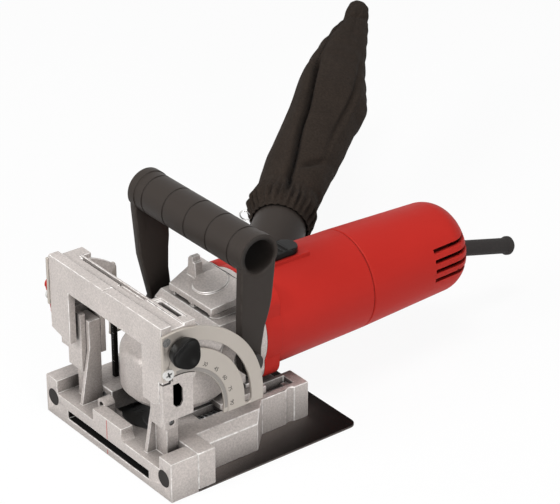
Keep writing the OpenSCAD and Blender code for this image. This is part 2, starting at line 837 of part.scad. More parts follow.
module motor_shell_front() {
  inner_r = motor_r - shell_t;
  color(red) difference() {
    union() {
      about_motor() polygon([[0, motor_y], [motor_r, motor_y], [seam_r, seam_y], [0, seam_y]]);
      along_y(motor_y, motor_y + lobe_l) flange_outline();
      span(-slider_w / 2 - 2, slider_w / 2 + 2, slider_y - 4, slider_y + slider_l + 4, motor_z + seam_r - 8, slider_z - slide_gap);
    }
    difference() {
      about_motor() polygon([
        [0, motor_y + 3], [inner_r - 3, motor_y + 3], [inner_r, motor_y + 8],
        [seam_r - shell_t, seam_y + over], [0, seam_y + over]
      ]);
      for (a = [45:90:315]) translate([0, 0, motor_z]) rotate([0, a, 0])
        span(coil_r, motor_r, coil_front + 2, coil_front + coil_l - 2, -rib_t / 2, rib_t / 2);
    }
    bar_y(motor_y - over, motor_y + 4, front_bearing_r + turn_gap, 0, motor_z);
    bar_y(motor_y - over, motor_y + 9, shaft_r + 3, 0, motor_z);
    seam_groove();
    span(-stem_w / 2 - slide_gap, stem_w / 2 + slide_gap, slider_y + 6 - slide_gap - switch_travel,
      slider_y + slider_l - 8 + slide_gap, motor_z + coil_r, slider_z + over);
    for (p = shell_screw_xz) bar_y(motor_y - over, motor_y + lobe_l + over, screw_r + turn_gap, p[0], p[1]);
  }
}

// Groove around the shells where they meet
module seam_groove() {
  deep = 0.9;
  about_motor() polygon([
    [seam_r - deep, seam_y], [seam_r + over, seam_y - deep - over], [seam_r + over, seam_y + deep + over]
  ]);
}

// Profile of the rear shell, tapering and then rounding into the flat back
module rear_profile(trim) {
  taper_end = motor_end - rear_round;
  intersection() {
    union() {
      polygon([[0, seam_y], [seam_r - trim, seam_y], [rear_r - trim, taper_end], [0, taper_end]]);
      translate([rear_r - rear_round, taper_end]) circle(rear_round - trim);
      square([rear_r - rear_round, motor_end - trim]);
    }
    translate([0, seam_y]) square([motor_r, motor_end]);
  }
}

module motor_shell_rear() {
  color(red) difference() {
    about_motor() rear_profile(0);
    difference() {
      union() {
        about_motor() rear_profile(shell_t);
        bar_y(seam_y - over, seam_y + over, seam_r - shell_t, 0, motor_z);
      }
      bar_y(rear_bearing_y, motor_end, rear_bearing_r + 3, 0, motor_z);
    }
    bar_y(rear_bearing_y - over, rear_bearing_y + rear_bearing_l, rear_bearing_r + turn_gap, 0, motor_z);
    bar_y(rear_bearing_y, rear_bearing_y + rear_bearing_l + 4, shaft_r + 2, 0, motor_z);
    both() for (i = [0:3])
      span(rear_r - 18, motor_r, vent_y, motor_end - 3.5, vent_z - i * vent_pitch - vent_h / 2,
        vent_z - i * vent_pitch + vent_h / 2);
    gland_frame() cylinder(r = gland_r + turn_gap, h = 14, center = true);
    seam_groove();
  }
}

module field_coil() {
  color(steel) difference() {
    bar_y(coil_front, coil_front + coil_l, coil_r - turn_gap, 0, motor_z);
    bar_y(coil_front - over, coil_front + coil_l + over, core_r + air_gap, 0, motor_z);
  }
}

module brush_holders() {
  brush_gap = 0.3;
  color(brass) both() {
    along_y(comm_y + 4, comm_y + 4 + brush_w) translate([comm_r + brush_gap, motor_z - brush_w / 2])
      square([brush_out - comm_r - brush_gap, brush_w]);
    span(brush_out - over, rear_wall_at(comm_y + 4 + brush_w) - slide_gap, comm_y + 5, comm_y + 3 + brush_w,
      motor_z - 2, motor_z + 2);
  }
}
// Inner radius of the rear shell at a place along the motor
function rear_wall_at(y) = seam_r - shell_t - (y - seam_y) * (seam_r - rear_r) / (motor_end - rear_round - seam_y);

module shell_screws() {
  color(steel) for (p = shell_screw_xz) {
    bar_y(case_flange_y, motor_y + lobe_l - over, screw_r - turn_gap, p[0], p[1]);
    bar_y(case_flange_y - 2.6, case_flange_y, head_r, p[0], p[1]);
  }
}

module bail_handle() {
  leg_top = grip_z;
  color(charcoal) difference() {
    union() {
      bar_x(-grip_x, grip_x, grip_r, grip_y, grip_z);
      both() intersection() {
        along_y(0, 2 * grip_y) polygon([
          [grip_x, grip_z + 2 * grip_r], [grip_x, bail_straight_z], [bail_knee_x, bail_knee_z],
          [bail_foot_x, bail_foot_hold], [bail_foot_x, bail_foot_z], [bail_foot_x - bail_t, bail_foot_z],
          [bail_foot_x - bail_t, bail_foot_hold], [bail_knee_x - bail_t, bail_knee_z],
          [grip_x - bail_t, bail_straight_z], [grip_x - bail_t, grip_z + 2 * grip_r]
        ]);
        along_x(0, grip_x) {
          translate([grip_y, grip_z]) circle(grip_r + 0.5);
          polygon([
            [grip_y - grip_r + 0.5, leg_top], [grip_y - 11.6, bail_knee_z], [grip_y - 7.8, bail_foot_hold],
            [grip_y - 7, bail_foot_z + 4], [grip_y - 3, bail_foot_z], [grip_y + 4, bail_foot_z],
            [grip_y + 8, bail_foot_z + 4], [grip_y + 8.4, bail_knee_z - 12], [grip_y + 11.6, bail_knee_z + 8],
            [grip_y + grip_r - 0.5, leg_top]
          ]);
        }
      }
    }
    both() {
      bar_x(grip_x - 44, grip_x + over, grip_r - 3, grip_y, grip_z);
      bar_x(0, grip_x, bail_screw_r + turn_gap, mount_y, mount_z);
    }
    for (i = [0:grooves - 1]) translate([(i - (grooves - 1) / 2) * groove_pitch, grip_y, grip_z]) rotate([0, 90, 0])
      rotate_extrude() translate([grip_r, 0]) circle(groove_deep, $fn = 16);
  }
}

module handle_screws() {
  color(zinc) both() difference() {
    union() {
      bar_x(bail_foot_x - bail_t - 13, bail_foot_x, bail_screw_r - turn_gap, mount_y, mount_z);
      bar_x(bail_foot_x, bail_foot_x + 3.6, 6.5, mount_y, mount_z);
    }
    translate([bail_foot_x + 1.4, mount_y, mount_z]) rotate([0, 90, 0]) cylinder(r = 2.9, h = 3, $fn = 6);
  }
}

// Strain relief: a tapered sleeve that leaves the rear shell and droops a little
gland_r = 7;
gland_droop = 15;
gland_y = motor_end - 3;
gland_z = motor_z - 6.5;
module gland_frame() translate([0, gland_y, gland_z]) rotate([-90 - gland_droop, 0, 0]) children();

module strain_relief() {
  sleeve_l = 59.5;
  collar_end = 63;
  neck_r = 5.4;
  collar_r = 6.5;
  flare = 12;
  color(black) gland_frame() difference() {
    union() {
      translate([0, 0, -4]) cylinder(r = gland_r, h = 7);
      translate([0, 0, 2]) cylinder(r1 = gland_r, r2 = neck_r, h = flare);
      translate([0, 0, flare]) cylinder(r = neck_r, h = sleeve_l - flare);
      translate([0, 0, sleeve_l - 3]) cylinder(r1 = neck_r - 0.2, r2 = collar_r, h = 3);
      translate([0, 0, sleeve_l]) cylinder(r = collar_r, h = collar_end - sleeve_l - 1.5);
      translate([0, 0, collar_end - 1.5]) cylinder(r1 = collar_r, r2 = collar_r - 1.2, h = 1.5);
    }
    translate([0, 0, -5]) cylinder(r = 3.4, h = collar_end + 6);
  }
}

module switch_body() {
  case_l = 22;
  case_x = 9;
  color(charcoal) {
    span(-case_x, case_x, switch_y, switch_y + case_l, motor_z + 12, rod_low_z - slide_gap);
    span(-4, 4, switch_y + case_l - over, rear_bearing_y - slide_gap, motor_z + rear_bearing_r, motor_z + 18);
  }
}

module turret_screw() {
  color(zinc) {
    bar_y(turret_y + 2, lug_y + 10, screw_r - turn_gap, -turret_x, turret_z);
    bar_y(lug_y + 10, lug_y + 12.4, head_r, -turret_x, turret_z);
  }
}

// Spinning pieces

module spindle() {
  color(steel) {
    bar_z(seat_z, upper_bearing_z, spindle_r, 0, blade_y);
    bar_z(upper_bearing_z - over, spindle_top, upper_shaft_r, 0, blade_y);
    bar_z(seat_z, seat_z + seat_t, seat_r, 0, blade_y);
    bar_z(blade_z - blade_t / 2, seat_z + over, blade_bore / 2 - turn_gap, 0, blade_y);
    bar_z(sole_t + 1.2, blade_z, spindle_r - 1, 0, blade_y);
  }
}

module crown_gear() {
  color(steel) translate([0, blade_y, 0]) difference() {
    union() {
      bar_z(crown_face - crown_t, crown_face - tooth_h, crown_r, 0, 0);
      for (i = [0:crown_teeth - 1]) rotate(i * 360 / crown_teeth) intersection() {
        translate([0, 0, crown_face - tooth_h - over]) linear_extrude(tooth_h + over)
          polygon([[crown_in, -0.5], [crown_r - 0.4, -0.9], [crown_r - 0.4, 0.9], [crown_in, 0.5]]);
      }
    }
    bar_z(0, motor_z, spindle_r + turn_gap, 0, 0);
  }
}

module saw_blade() {
  body_r = blade_d / 2 - 5;
  plate_half = blade_t / 2 - 0.6;
  color(steel) translate([0, blade_y, blade_z]) difference() {
    union() {
      translate([0, 0, -plate_half]) cylinder(r = body_r, h = 2 * plate_half);
      translate([0, 0, -blade_t / 2]) cylinder(r = blade_bore / 2 + 10, h = blade_t);
      for (i = [0:blade_teeth - 1]) rotate(i * 360 / blade_teeth) {
        translate([0, 0, -plate_half]) linear_extrude(2 * plate_half)
          polygon([[body_r - 6, -9], [blade_d / 2 - 3.5, -3.5], [blade_d / 2 - 1, 0], [body_r - 6, 1]]);
        translate([0, 0, -blade_t / 2]) linear_extrude(blade_t)
          polygon([[body_r - 3, -2.4], [blade_d / 2 - 0.4, -2.2], [blade_d / 2 - 0.2, 0], [body_r - 3, 0]]);
      }
    }
    translate([0, 0, -blade_t]) cylinder(r = blade_bore / 2, h = 2 * blade_t);
    for (i = [0:blade_teeth - 1]) rotate((i + 0.35) * 360 / blade_teeth) translate([body_r * 0.66, 0, -blade_t])
      cylinder(r = 3, h = 2 * blade_t);
  }
}

module blade_nut() {
  nut_r = 14;
  color(steel) translate([0, blade_y, 0]) difference() {
    bar_z(sole_t + 0.8, blade_z - blade_t / 2, nut_r, 0, 0);
    bar_z(0, blade_z, spindle_r - 1 + turn_gap, 0, 0);
    for (s = [-1, 1]) bar_z(0, sole_t + 2.6, 1.8, s * (nut_r - 4), 0);
  }
}

module armature_shaft() {
  color(steel) bar_y(pinion_front, rear_bearing_y + rear_bearing_l + 2, shaft_r, 0, motor_z);
}

module armature_core() {
  slots = 12;
  color(copper) difference() {
    union() {
      bar_y(coil_front + 1, coil_front + coil_l - 1, core_r, 0, motor_z);
      bar_y(coil_front - 7, coil_front + coil_l + 7, core_r - 4, 0, motor_z);
    }
    bar_y(coil_front - 9, coil_front + coil_l + 9, shaft_r + turn_gap, 0, motor_z);
    for (i = [0:slots - 1]) translate([0, 0, motor_z]) rotate([0, i * 360 / slots, 0])
      span(core_r - 3.4, core_r + over, coil_front, coil_front + coil_l, -1.3, 1.3);
  }
}

module commutator() {
  bars = 24;
  color(copper) difference() {
    bar_y(comm_y, comm_y + comm_l, comm_r, 0, motor_z);
    bar_y(comm_y - over, comm_y + comm_l + over, shaft_r + turn_gap, 0, motor_z);
    for (i = [0:bars - 1]) translate([0, 0, motor_z]) rotate([0, i * 360 / bars, 0])
      span(comm_r - 0.9, comm_r + over, comm_y - over, comm_y + comm_l + over, -0.25, 0.25);
  }
}

module cooling_fan() {
  blades = 11;
  color(charcoal) difference() {
    union() {
      bar_y(fan_y, fan_y + 1.6, fan_r, 0, motor_z);
      bar_y(fan_y, fan_y + fan_l, 8, 0, motor_z);
      for (i = [0:blades - 1]) translate([0, 0, motor_z]) rotate([0, i * 360 / blades, 0])
        span(7, fan_r - 0.5, fan_y + over, fan_y + fan_l, -0.8, 0.8);
    }
    bar_y(fan_y - over, fan_y + fan_l + over, shaft_r + turn_gap, 0, motor_z);
  }
}

module pinion() {
  root_r = pinion_r - tooth_h;
  color(steel) difference() {
    union() {
      bar_y(pinion_front, pinion_front + pinion_l, root_r, 0, motor_z);
      for (i = [0:pinion_teeth - 1]) translate([0, 0, motor_z]) rotate([0, (i + 0.5) * 360 / pinion_teeth, 0])
        along_y(pinion_front, pinion_front + pinion_l)
          polygon([[root_r - over, -1.1], [pinion_r, -0.6], [pinion_r, 0.6], [root_r - over, 1.1]]);
    }
    bar_y(pinion_front - over, pinion_front + pinion_l + over, shaft_r + turn_gap, 0, motor_z);
  }
}

// Carriage: jaws around both columns, side blocks, tilt sectors and a beam between them

// A ring sector in Y and Z about the tilt axis, between two angles from the back
module sector(r_in, r_out, a0, a1) {
  far = 2 * r_out;
  translate([pivot_y, pivot_z]) intersection() {
    difference() {
      circle(r_out);
      circle(r_in);
    }
    polygon([[0, 0], far * [cos(a0), sin(a0)], far * [cos((a0 + a1) / 2), sin((a0 + a1) / 2)],
      far * [cos(a1), sin(a1)]]);
  }
}

module carriage_side(slot_at) {
  difference() {
    union() {
      span(col_x + gusset_t + slide_gap, jaw_side, jaw_front, col_y - slide_gap, lip_z, jaw_top);
      span(jaw_x, jaw_side, jaw_front, lip_back, lip_z, cheek_z + over);
      span(jaw_x, jaw_side, jaw_front, jaw_back, cheek_z, jaw_top);
      span(col_x, jaw_side, front_d + slide_gap, jaw_back, cheek_z, jaw_top);
      span(jaw_x, cheek_out, jaw_front, cheek_y, cheek_z, jaw_top);
      span(fin_x, cheek_out, jaw_front, pivot_y + 14, jaw_top - over, beam_z + beam_h);
      along_x(fin_x, cheek_out) sector(sector_in, sector_out, sector_from, sector_to);
      along_x(cheek_out - over, arc_x + arc_t) sector(arc_in - shoe_t, arc_in - shoe_gap, shoe_from, shoe_to);
      bar_x(jaw_x + 4, cheek_out, stud_boss_r, pivot_y, pivot_z + slot_at);
      span(jaw_x + 4, cheek_out, jaw_front, pivot_y + 5, jaw_top - over, beam_z + beam_h);
    }
    bar_x(col_x, jaw_side + over, screw_r + turn_gap, jaw_front + jaw_t + 1.5, lip_z + 4);
  }
}

module carriage() {
  hex_y = 12.3;
  hex_z = 67;
  color(cast_grey) difference() {
    union() {
      carriage_side(arc_slot);
      left() carriage_side(left_slot);
      span(fin_x, cheek_out, fin_front, jaw_front + over, cheek_z, fin_top);
      span(-fin_x, fin_x, jaw_front, jaw_front + beam_t, beam_z, beam_z + beam_h);
    }
    along_x(jaw_x + 1.2, cheek_out + over) polygon([
      [hex_y - 3.4, hex_z - 5.6], [hex_y - 1, hex_z - 8], [hex_y + 2, hex_z - 8], [hex_y + 3.6, hex_z - 5],
      [hex_y + 3.6, hex_z + 3.5], [hex_y + 1, hex_z + 8], [hex_y - 3.4, hex_z + 8]
    ]);
    left() bar_x(jaw_x - over, cheek_out + over, lever_pin_r + turn_gap, lever_y, lever_z);
    bar_x(jaw_x, cheek_out + over, stud_r + turn_gap, pivot_y, pivot_z + arc_slot);
    left() bar_x(jaw_x, cheek_out + over, stud_r + turn_gap, pivot_y, pivot_z + left_slot);
  }
}

module gib_screws() {
  color(steel) both() difference() {
    bar_x(jaw_x + 0.2, jaw_side - 1.2, screw_r - turn_gap, jaw_front + jaw_t + 1.5, lip_z + 4);
    translate([jaw_side - 2.4, jaw_front + jaw_t + 1.5, lip_z + 4]) rotate([0, 90, 0]) cylinder(r = 1.1, h = 2, $fn = 6);
  }
}

module guide_stud() {
  color(steel) left() {
    bar_x(jaw_x + 6, arc_x + arc_t + 0.4, stud_r, pivot_y, pivot_z + left_slot);
    bar_x(arc_x + arc_t + 0.4, arc_x + arc_t + 2.4, stud_r + 1.8, pivot_y, pivot_z + left_slot);
  }
}

// Fence

module fence() {
  slot_x0 = 28;
  slot_x1 = 49;
  slot_y0 = fence_y + flange_d - 6;
  slot_y1 = fence_y + flange_d - 2.2;
  notch_x = fin_x - 0.4;
  frame_x = slot_x0 - 4;
  frame_h = 1.3;
  waist_d = flange_d - 6.8;
  lug_x = arc_x - 10.3;
  color(cast_grey) difference() {
    union() {
      along_y(fence_y, fence_y + fence_t) polygon([
        [-arc_x, fence_top], [arc_x, fence_top], [arc_x, leg_z + 4], [window_x + 11, leg_z], [window_x, leg_z],
        [window_x, window_top], [-window_x, window_top], [-window_x, leg_z], [-window_x - 3, leg_z],
        [-arc_x, leg_z + 4]
      ]);
      span(-arc_x, arc_x, fence_y, fence_y + rim_d, deck_z - deck_t, fence_top);
      span(-arc_x, arc_x, fence_y + over, fence_y + waist_d, deck_z - deck_t, deck_z);
      span(-arc_x, -lug_x, fence_y + over, fence_y + flange_d, deck_z - deck_t, deck_z);
      span(frame_x, arc_x, fence_y + over, fence_y + flange_d, deck_z - deck_t, deck_z);
      span(-lug_x, frame_x + over, fence_y + waist_d - 1.6, fence_y + waist_d, deck_z - over, deck_z + 1.2);
      difference() {
        span(frame_x, arc_x, slot_y0 - 2.4, fence_y + flange_d, deck_z - over, deck_z + frame_h);
        span(slot_x0 - 1.2, slot_x1 + 5, slot_y0 - 0.6, slot_y1 + 0.6, deck_z, deck_z + frame_h + over);
      }
    }
    span(notch_x, arc_x + over, fence_y - over, fence_y + fence_t + over, leg_z - over, fin_top + 1.5);
    span(slot_x0, slot_x1, slot_y0, slot_y1, deck_z - deck_t - over, deck_z + over);
    span(-lug_x + 3, -4, fence_y + waist_d - 2.8, fence_y + waist_d - 1.6, deck_z - 1.8, deck_z + over);
    span(-4, frame_x - 3, fence_y + waist_d - 4.6, fence_y + waist_d - 1.6, deck_z - 1.1, deck_z + over);
    span(-0.4, 0.4, fence_y - over, fence_y + rim_d - 1, fence_top - 1.1, fence_top + over);
    both() for (z = plate_screw_z)
      bar_x(arc_x - 9, arc_x + over, screw_r + turn_gap, fence_y + fence_t / 2, z);
  }
}
plate_screw_z = [pivot_z + arc_in + 3.2, fence_top - 9];

module arc_plate() {
  slot_from = -2;
  slot_to = 93;
  // The slot's round ends are a little wider than its sides, as a cutter leaves them
  end_ease = 0.05;
  difference() {
    along_x(arc_x, arc_x + arc_t) intersection() {
      difference() {
        sector(arc_in, arc_out, -30, 130);
        sector(arc_slot - arc_slot_w / 2, arc_slot + arc_slot_w / 2, slot_from, slot_to);
        for (a = [slot_from, slot_to])
          translate([pivot_y + arc_slot * cos(a), pivot_z + arc_slot * sin(a)]) circle(arc_slot_w / 2 + end_ease);
        for (z = plate_screw_z) translate([fence_y + fence_t / 2, z]) circle(screw_r + turn_gap);
      }
      translate([fence_y - 0.8, arc_bottom]) square([2 * arc_out, 2 * arc_out]);
    }
    along_x(arc_x + arc_t - 0.6, arc_x + arc_t + over) sector(arc_in - over, arc_in + 2.8, -30, 95);
    flush_head(0, over);
  }
}

module protractor() color(machined) arc_plate();
// Smaller plate on the left, with a corner that stands up behind the fence
module left_quadrant() {
  slot_from = -2;
  slot_to = 93;
  end_ease = 0.05;
  color(machined) left() difference() {
    union() {
      along_x(arc_x, arc_x + arc_t) intersection() {
        sector(arc_in, left_out, -30, 130);
        translate([fence_y - 0.8, arc_bottom]) square([2 * arc_out, 2 * arc_out]);
      }
      span(arc_x, arc_x + arc_t, fence_y - 0.8, fence_y + fence_t + 1.6, pivot_z + arc_in + 1, fence_top - 3);
      along_x(arc_x, arc_x + arc_t) polygon([
        [pivot_y + 20, tab_z - 9], [tab_y - 11, tab_z], [tab_y - 1, tab_z - 1], [tab_y, tab_z - 4],
        [tab_y, tab_z - 12], [pivot_y + 33, pivot_z + 28], [pivot_y + 28, pivot_z + 30]
      ]);
    }
    along_x(arc_x - over, arc_x + arc_t + over) {
      sector(left_slot - arc_slot_w / 2, left_slot + arc_slot_w / 2, slot_from, slot_to);
      for (a = [slot_from, slot_to])
        translate([pivot_y + left_slot * cos(a), pivot_z + left_slot * sin(a)]) circle(arc_slot_w / 2 + end_ease);
      for (z = plate_screw_z) translate([fence_y + fence_t / 2, z]) circle(screw_r + turn_gap);
    }
    flush_head(0, over);
  }
}

module plate_screws() {
  pan_t = 1.8;
  pan_r = 3.6;
  y = fence_y + fence_t / 2;
  color(zinc) both() {
    difference() {
      union() {
        bar_x(arc_x - 8, arc_x + arc_t + pan_t, screw_r - turn_gap, y, plate_screw_z[0]);
        bar_x(arc_x + arc_t, arc_x + arc_t + pan_t, pan_r, y, plate_screw_z[0]);
      }
      translate([arc_x + arc_t + pan_t, y, plate_screw_z[0]]) for (a = [0, 90]) rotate([a + 20, 0, 0])
        cube([2, 4.2, 1], center = true);
    }
    bar_x(arc_x - 8, arc_x + arc_t, screw_r - turn_gap, y, plate_screw_z[1]);
    flush_head(turn_gap, 0);
  }
}
// Countersunk head of a flush plate screw, drawn in by a clearance and carried on past the face
flush_r = 2.9;
flush_t = 1.4;
module flush_head(gap, past) {
  translate([arc_x + arc_t - flush_t, fence_y + fence_t / 2, plate_screw_z[1]]) rotate([0, 90, 0])
    cylinder(r1 = flush_r - flush_t - gap, r2 = flush_r - gap + past, h = flush_t + past);
}

// Controls

// Three round lobes joined by straight flanks
module tri_lobe(r, at) {
  corners = [for (i = [0:2]) at * [cos(i * 120 + 90), sin(i * 120 + 90)]];
  for (c = corners) translate(c) circle(r);
  polygon([for (i = [0:2]) for (e = [0, 1])
    corners[(i + e) % 3] + r * [cos(i * 120 + 150), sin(i * 120 + 150)]]);
}

module tilt_knob() {
  color(black) {
    difference() {
      union() {
        intersection() {
          along_x(knob_x + 1, knob_x + knob_t) translate([pivot_y, pivot_z + arc_slot])
            rotate(knob_turn) tri_lobe(lobe_r, lobe_at);
          translate([knob_x + 1, pivot_y, pivot_z + arc_slot]) rotate([0, 90, 0])
            cylinder(r1 = lobe_r + lobe_at - knob_flare, r2 = lobe_r + lobe_at + 0.1, h = knob_t - 1);
        }
        bar_x(knob_x, knob_x + 3, lobe_r + 1, pivot_y, pivot_z + arc_slot);
      }
      translate([knob_x + knob_t + 12.3, pivot_y, pivot_z + arc_slot]) sphere(r = 14);
    }
    bar_x(jaw_x + 6, knob_x + over, stud_r, pivot_y, pivot_z + arc_slot);
  }
}

lever_pin_r = 3;
module height_lever() {
  arm_y = 9;
  arm_z = 88;
  color(red) left() {
    bar_x(lever_x, lever_x + lever_t, 8, lever_y, lever_z);
    bar_x(lever_x + 2, lever_x + lever_t, 4.6, arm_y, arm_z);
    along_x(lever_x + 2, lever_x + lever_t) polygon([
      [lever_y - 7.6, lever_z - 1], [arm_y - 4.5, arm_z - 1], [arm_y + 4.5, arm_z + 1], [lever_y + 7.6, lever_z + 1]
    ]);
    bar_x(jaw_x + 0.4, lever_x + over, lever_pin_r, lever_y, lever_z);
  }
}

module power_slider() {
  color(black) {
    span(-slider_w / 2, slider_w / 2, slider_y, slider_y + slider_l - slider_w / 2, slider_z, slider_z + slider_h);
    bar_z(slider_z, slider_z + slider_h, slider_w / 2, 0, slider_y + slider_l - slider_w / 2);
    for (i = [0:3]) span(-slider_w / 2 + 2, slider_w / 2 - 2, slider_y + 5 + 4 * i, slider_y + 6.5 + 4 * i,
      slider_z + slider_h - over, slider_z + slider_h + 0.7);
    span(-stem_w / 2, stem_w / 2, slider_y + 6, slider_y + slider_l - 8, rod_bar_z, slider_z + over);
    span(-stem_w / 2, stem_w / 2, slider_y + 6, rod_drop_y + 2, rod_bar_z, rod_bar_z + rod_bar_h);
    span(-stem_w / 2, stem_w / 2, rod_drop_y, rod_drop_y + 2, rod_low_z, rod_bar_z + rod_bar_h);
    span(-stem_w / 2, stem_w / 2, rod_drop_y, switch_y + 14, rod_low_z, rod_low_z + rod_bar_h);
  }
}

lock_r = 5;
lock_z = 54;
module spindle_lock() {
  color(red) left() {
    bar_x(nose_r - 4, nose_r + 2.6, lock_r, blade_y, lock_z);
    bar_x(cavity_r - 1, nose_r - 3, 2.4, blade_y, lock_z);
  }
}

// The turret's pins stop the plunge early, and the gap below them lets it go to full depth
module depth_turret() {
  pin_l = [4, 6.5];
  pin_at = [-90, 90];
  pin_r = 1.6;
  color(black) difference() {
    union() {
      bar_y(turret_y, turret_y + turret_l, turret_r, -turret_x, turret_z);
      for (i = [0:1]) translate([-turret_x, turret_y, turret_z]) rotate([0, pin_at[i], 0])
        translate([0, over, turret_r - pin_r - 0.6]) rotate([90, 0, 0]) cylinder(r = pin_r, h = pin_l[i] + over);
    }
    bar_y(turret_y - over, turret_y + turret_l + over, screw_r + turn_gap, -turret_x, turret_z);
  }
}

front_casting();
rear_casting();
sole_plate();
sole_screws();
anti_slip_pads();
guide_rods();
rod_nuts();
return_springs();
height_scale();
depth_stop();
dust_chute();
chute_screws();
bag_collar();
dust_bag();
bag_ring();
slide_bracket();
gear_housing();
bearing_cover();
spindle_bearings();
motor_bearings();
motor_shell_front();
motor_shell_rear();
field_coil();
brush_holders();
shell_screws();
bail_handle();
handle_screws();
strain_relief();
switch_body();
turret_screw();
spindle();
crown_gear();
saw_blade();
blade_nut();
armature_shaft();
armature_core();
commutator();
cooling_fan();
pinion();
carriage();
gib_screws();
guide_stud();
fence();
protractor();
left_quadrant();
plate_screws();
tilt_knob();
height_lever();
power_slider();
spindle_lock();
depth_turret();
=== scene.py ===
"""Studio scene of a plate joiner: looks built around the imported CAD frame, in metres."""

from __future__ import annotations

import itertools
import json
import logging
import math
from collections.abc import Sequence
from dataclasses import dataclass, field
from enum import Enum

import bmesh
import bpy
from mathutils import Matrix, Vector, noise

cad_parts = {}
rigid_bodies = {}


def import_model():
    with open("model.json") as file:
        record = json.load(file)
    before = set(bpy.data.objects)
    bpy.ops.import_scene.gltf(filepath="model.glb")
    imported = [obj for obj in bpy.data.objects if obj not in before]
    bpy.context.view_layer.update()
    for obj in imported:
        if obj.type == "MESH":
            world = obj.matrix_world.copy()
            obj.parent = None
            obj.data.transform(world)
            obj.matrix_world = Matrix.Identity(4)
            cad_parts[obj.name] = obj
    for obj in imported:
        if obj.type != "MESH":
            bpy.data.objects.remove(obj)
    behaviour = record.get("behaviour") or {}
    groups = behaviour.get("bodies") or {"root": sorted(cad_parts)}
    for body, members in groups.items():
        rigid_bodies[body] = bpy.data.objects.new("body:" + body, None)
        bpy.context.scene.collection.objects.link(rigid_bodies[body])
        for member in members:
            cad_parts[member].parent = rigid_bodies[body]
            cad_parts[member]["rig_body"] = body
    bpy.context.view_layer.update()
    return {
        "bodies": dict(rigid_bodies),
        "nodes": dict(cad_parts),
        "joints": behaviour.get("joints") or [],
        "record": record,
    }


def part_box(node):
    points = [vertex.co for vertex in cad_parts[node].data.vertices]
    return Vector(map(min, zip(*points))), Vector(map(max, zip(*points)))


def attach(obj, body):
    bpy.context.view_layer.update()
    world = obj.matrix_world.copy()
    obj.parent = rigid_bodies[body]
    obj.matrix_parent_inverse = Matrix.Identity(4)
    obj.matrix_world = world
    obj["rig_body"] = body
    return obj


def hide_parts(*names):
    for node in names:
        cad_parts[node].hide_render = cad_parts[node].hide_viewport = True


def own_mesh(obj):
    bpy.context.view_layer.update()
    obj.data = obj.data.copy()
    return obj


LOG = logging.getLogger("plate_joiner")
MM = 0.001
Colour = tuple[float, float, float]
Place = tuple[float, float, float]


def linear(red: int, green: int, blue: int) -> Colour:
    """Turn an sRGB colour of 0 to 255 into scene-linear values.

    Args:
        red: Red share.
        green: Green share.
        blue: Blue share.

    Returns:
        The three linear values.
    """
    shares = (value / 255 for value in (red, green, blue))
    return tuple(s / 12.92 if s <= 0.04045 else ((s + 0.055) / 1.055) ** 2.4 for s in shares)


def ramp(offset: float, span: float) -> float:
    """Give a slope that starts at 0 and stays at 1 past a span."""
    return max(0.0, min(1.0, offset / span))


def bell(offset: float, width: float) -> float:
    """Give a smooth hump that is 1 in its middle."""
    return math.exp(-((offset / width) ** 2))


class Graph:
    """Short hand for filling one node tree."""

    # Numbers of a Mix node's factor and two colours among its inputs, and of its colour result
    MIX_INPUTS = (0, 6, 7)
    MIX_RESULT = 2

    def __init__(self, tree: bpy.types.NodeTree) -> None:
        """Keep the tree that the nodes go into."""
        self.tree = tree

    def put(self, socket: bpy.types.NodeSocket, value: object) -> None:
        """Link a socket to another one, or set its value.

        Args:
            socket: The input to fill.
            value: An output socket, or a plain value.
        """
        if isinstance(value, bpy.types.NodeSocket):
            self.tree.links.new(value, socket)
        else:
            socket.default_value = value

    def add(self, kind: str, sockets: dict | None = None, **settings: object) -> bpy.types.Node:
        """Add a node.

        Args:
            kind: The node's type name.
            sockets: Input names or numbers with their links or values.
            **settings: The node's own properties.

        Returns:
            The new node.
        """
        node = self.tree.nodes.new(kind)
        for name, value in settings.items():
            setattr(node, name, value)
        for name, value in (sockets or {}).items():
            self.put(node.inputs[name], value)
        return node

    def math(self, operation: str, *values: object) -> bpy.types.NodeSocket:
        """Add a Math node and return its result."""
        return self.add("ShaderNodeMath", dict(enumerate(values)), operation=operation).outputs[0]

    def centred(self, value: object) -> bpy.types.NodeSocket:
        """Shift a grey value of 0 to 1 so that its middle is zero."""
        return self.math("SUBTRACT", value, 0.5)

    def weighed(self, base: object, *terms: tuple[object, object]) -> bpy.types.NodeSocket:
        """Add values to a base, each with its weight.

        Args:
            base: A value or a socket.
            *terms: Pairs of a value and its weight.

        Returns:
            The sum.
        """
        for value, weight in terms:
            base = self.math("MULTIPLY_ADD", value, weight, base)
        return base

    def scaled(self, colour: object, level: object) -> bpy.types.NodeSocket:
        """Multiply a colour by a level."""
        sockets = {0: colour, "Scale": level}
        return self.add("ShaderNodeVectorMath", sockets, operation="SCALE").outputs[0]

    def noise(self, vector: object, scale: object, detail: float,
              rough: float = 0.55) -> bpy.types.NodeSocket:
        """Add a noise texture and return its grey value."""
        sockets = {"Vector": vector, "Scale": scale, "Detail": detail, "Roughness": rough}
        return self.add("ShaderNodeTexNoise", sockets).outputs[0]

    def mix(self, share: object, first: object, second: object) -> bpy.types.NodeSocket:
        """Add a colour mix.

        Args:
            share: How much of the second colour shows.
            first: A colour.
            second: The colour that covers it.

        Returns:
            The mixed colour.
        """
        node = self.add("ShaderNodeMix", data_type="RGBA")
        for number, value in zip(self.MIX_INPUTS, (share, first, second)):
            self.put(node.inputs[number], value)
        return node.outputs[self.MIX_RESULT]


class Effect(Enum):
    """Shader node groups that the finishes share."""

    SKIN = "surface skin"
    LINES = "brushed lines"
    WEAVE = "plain weave"


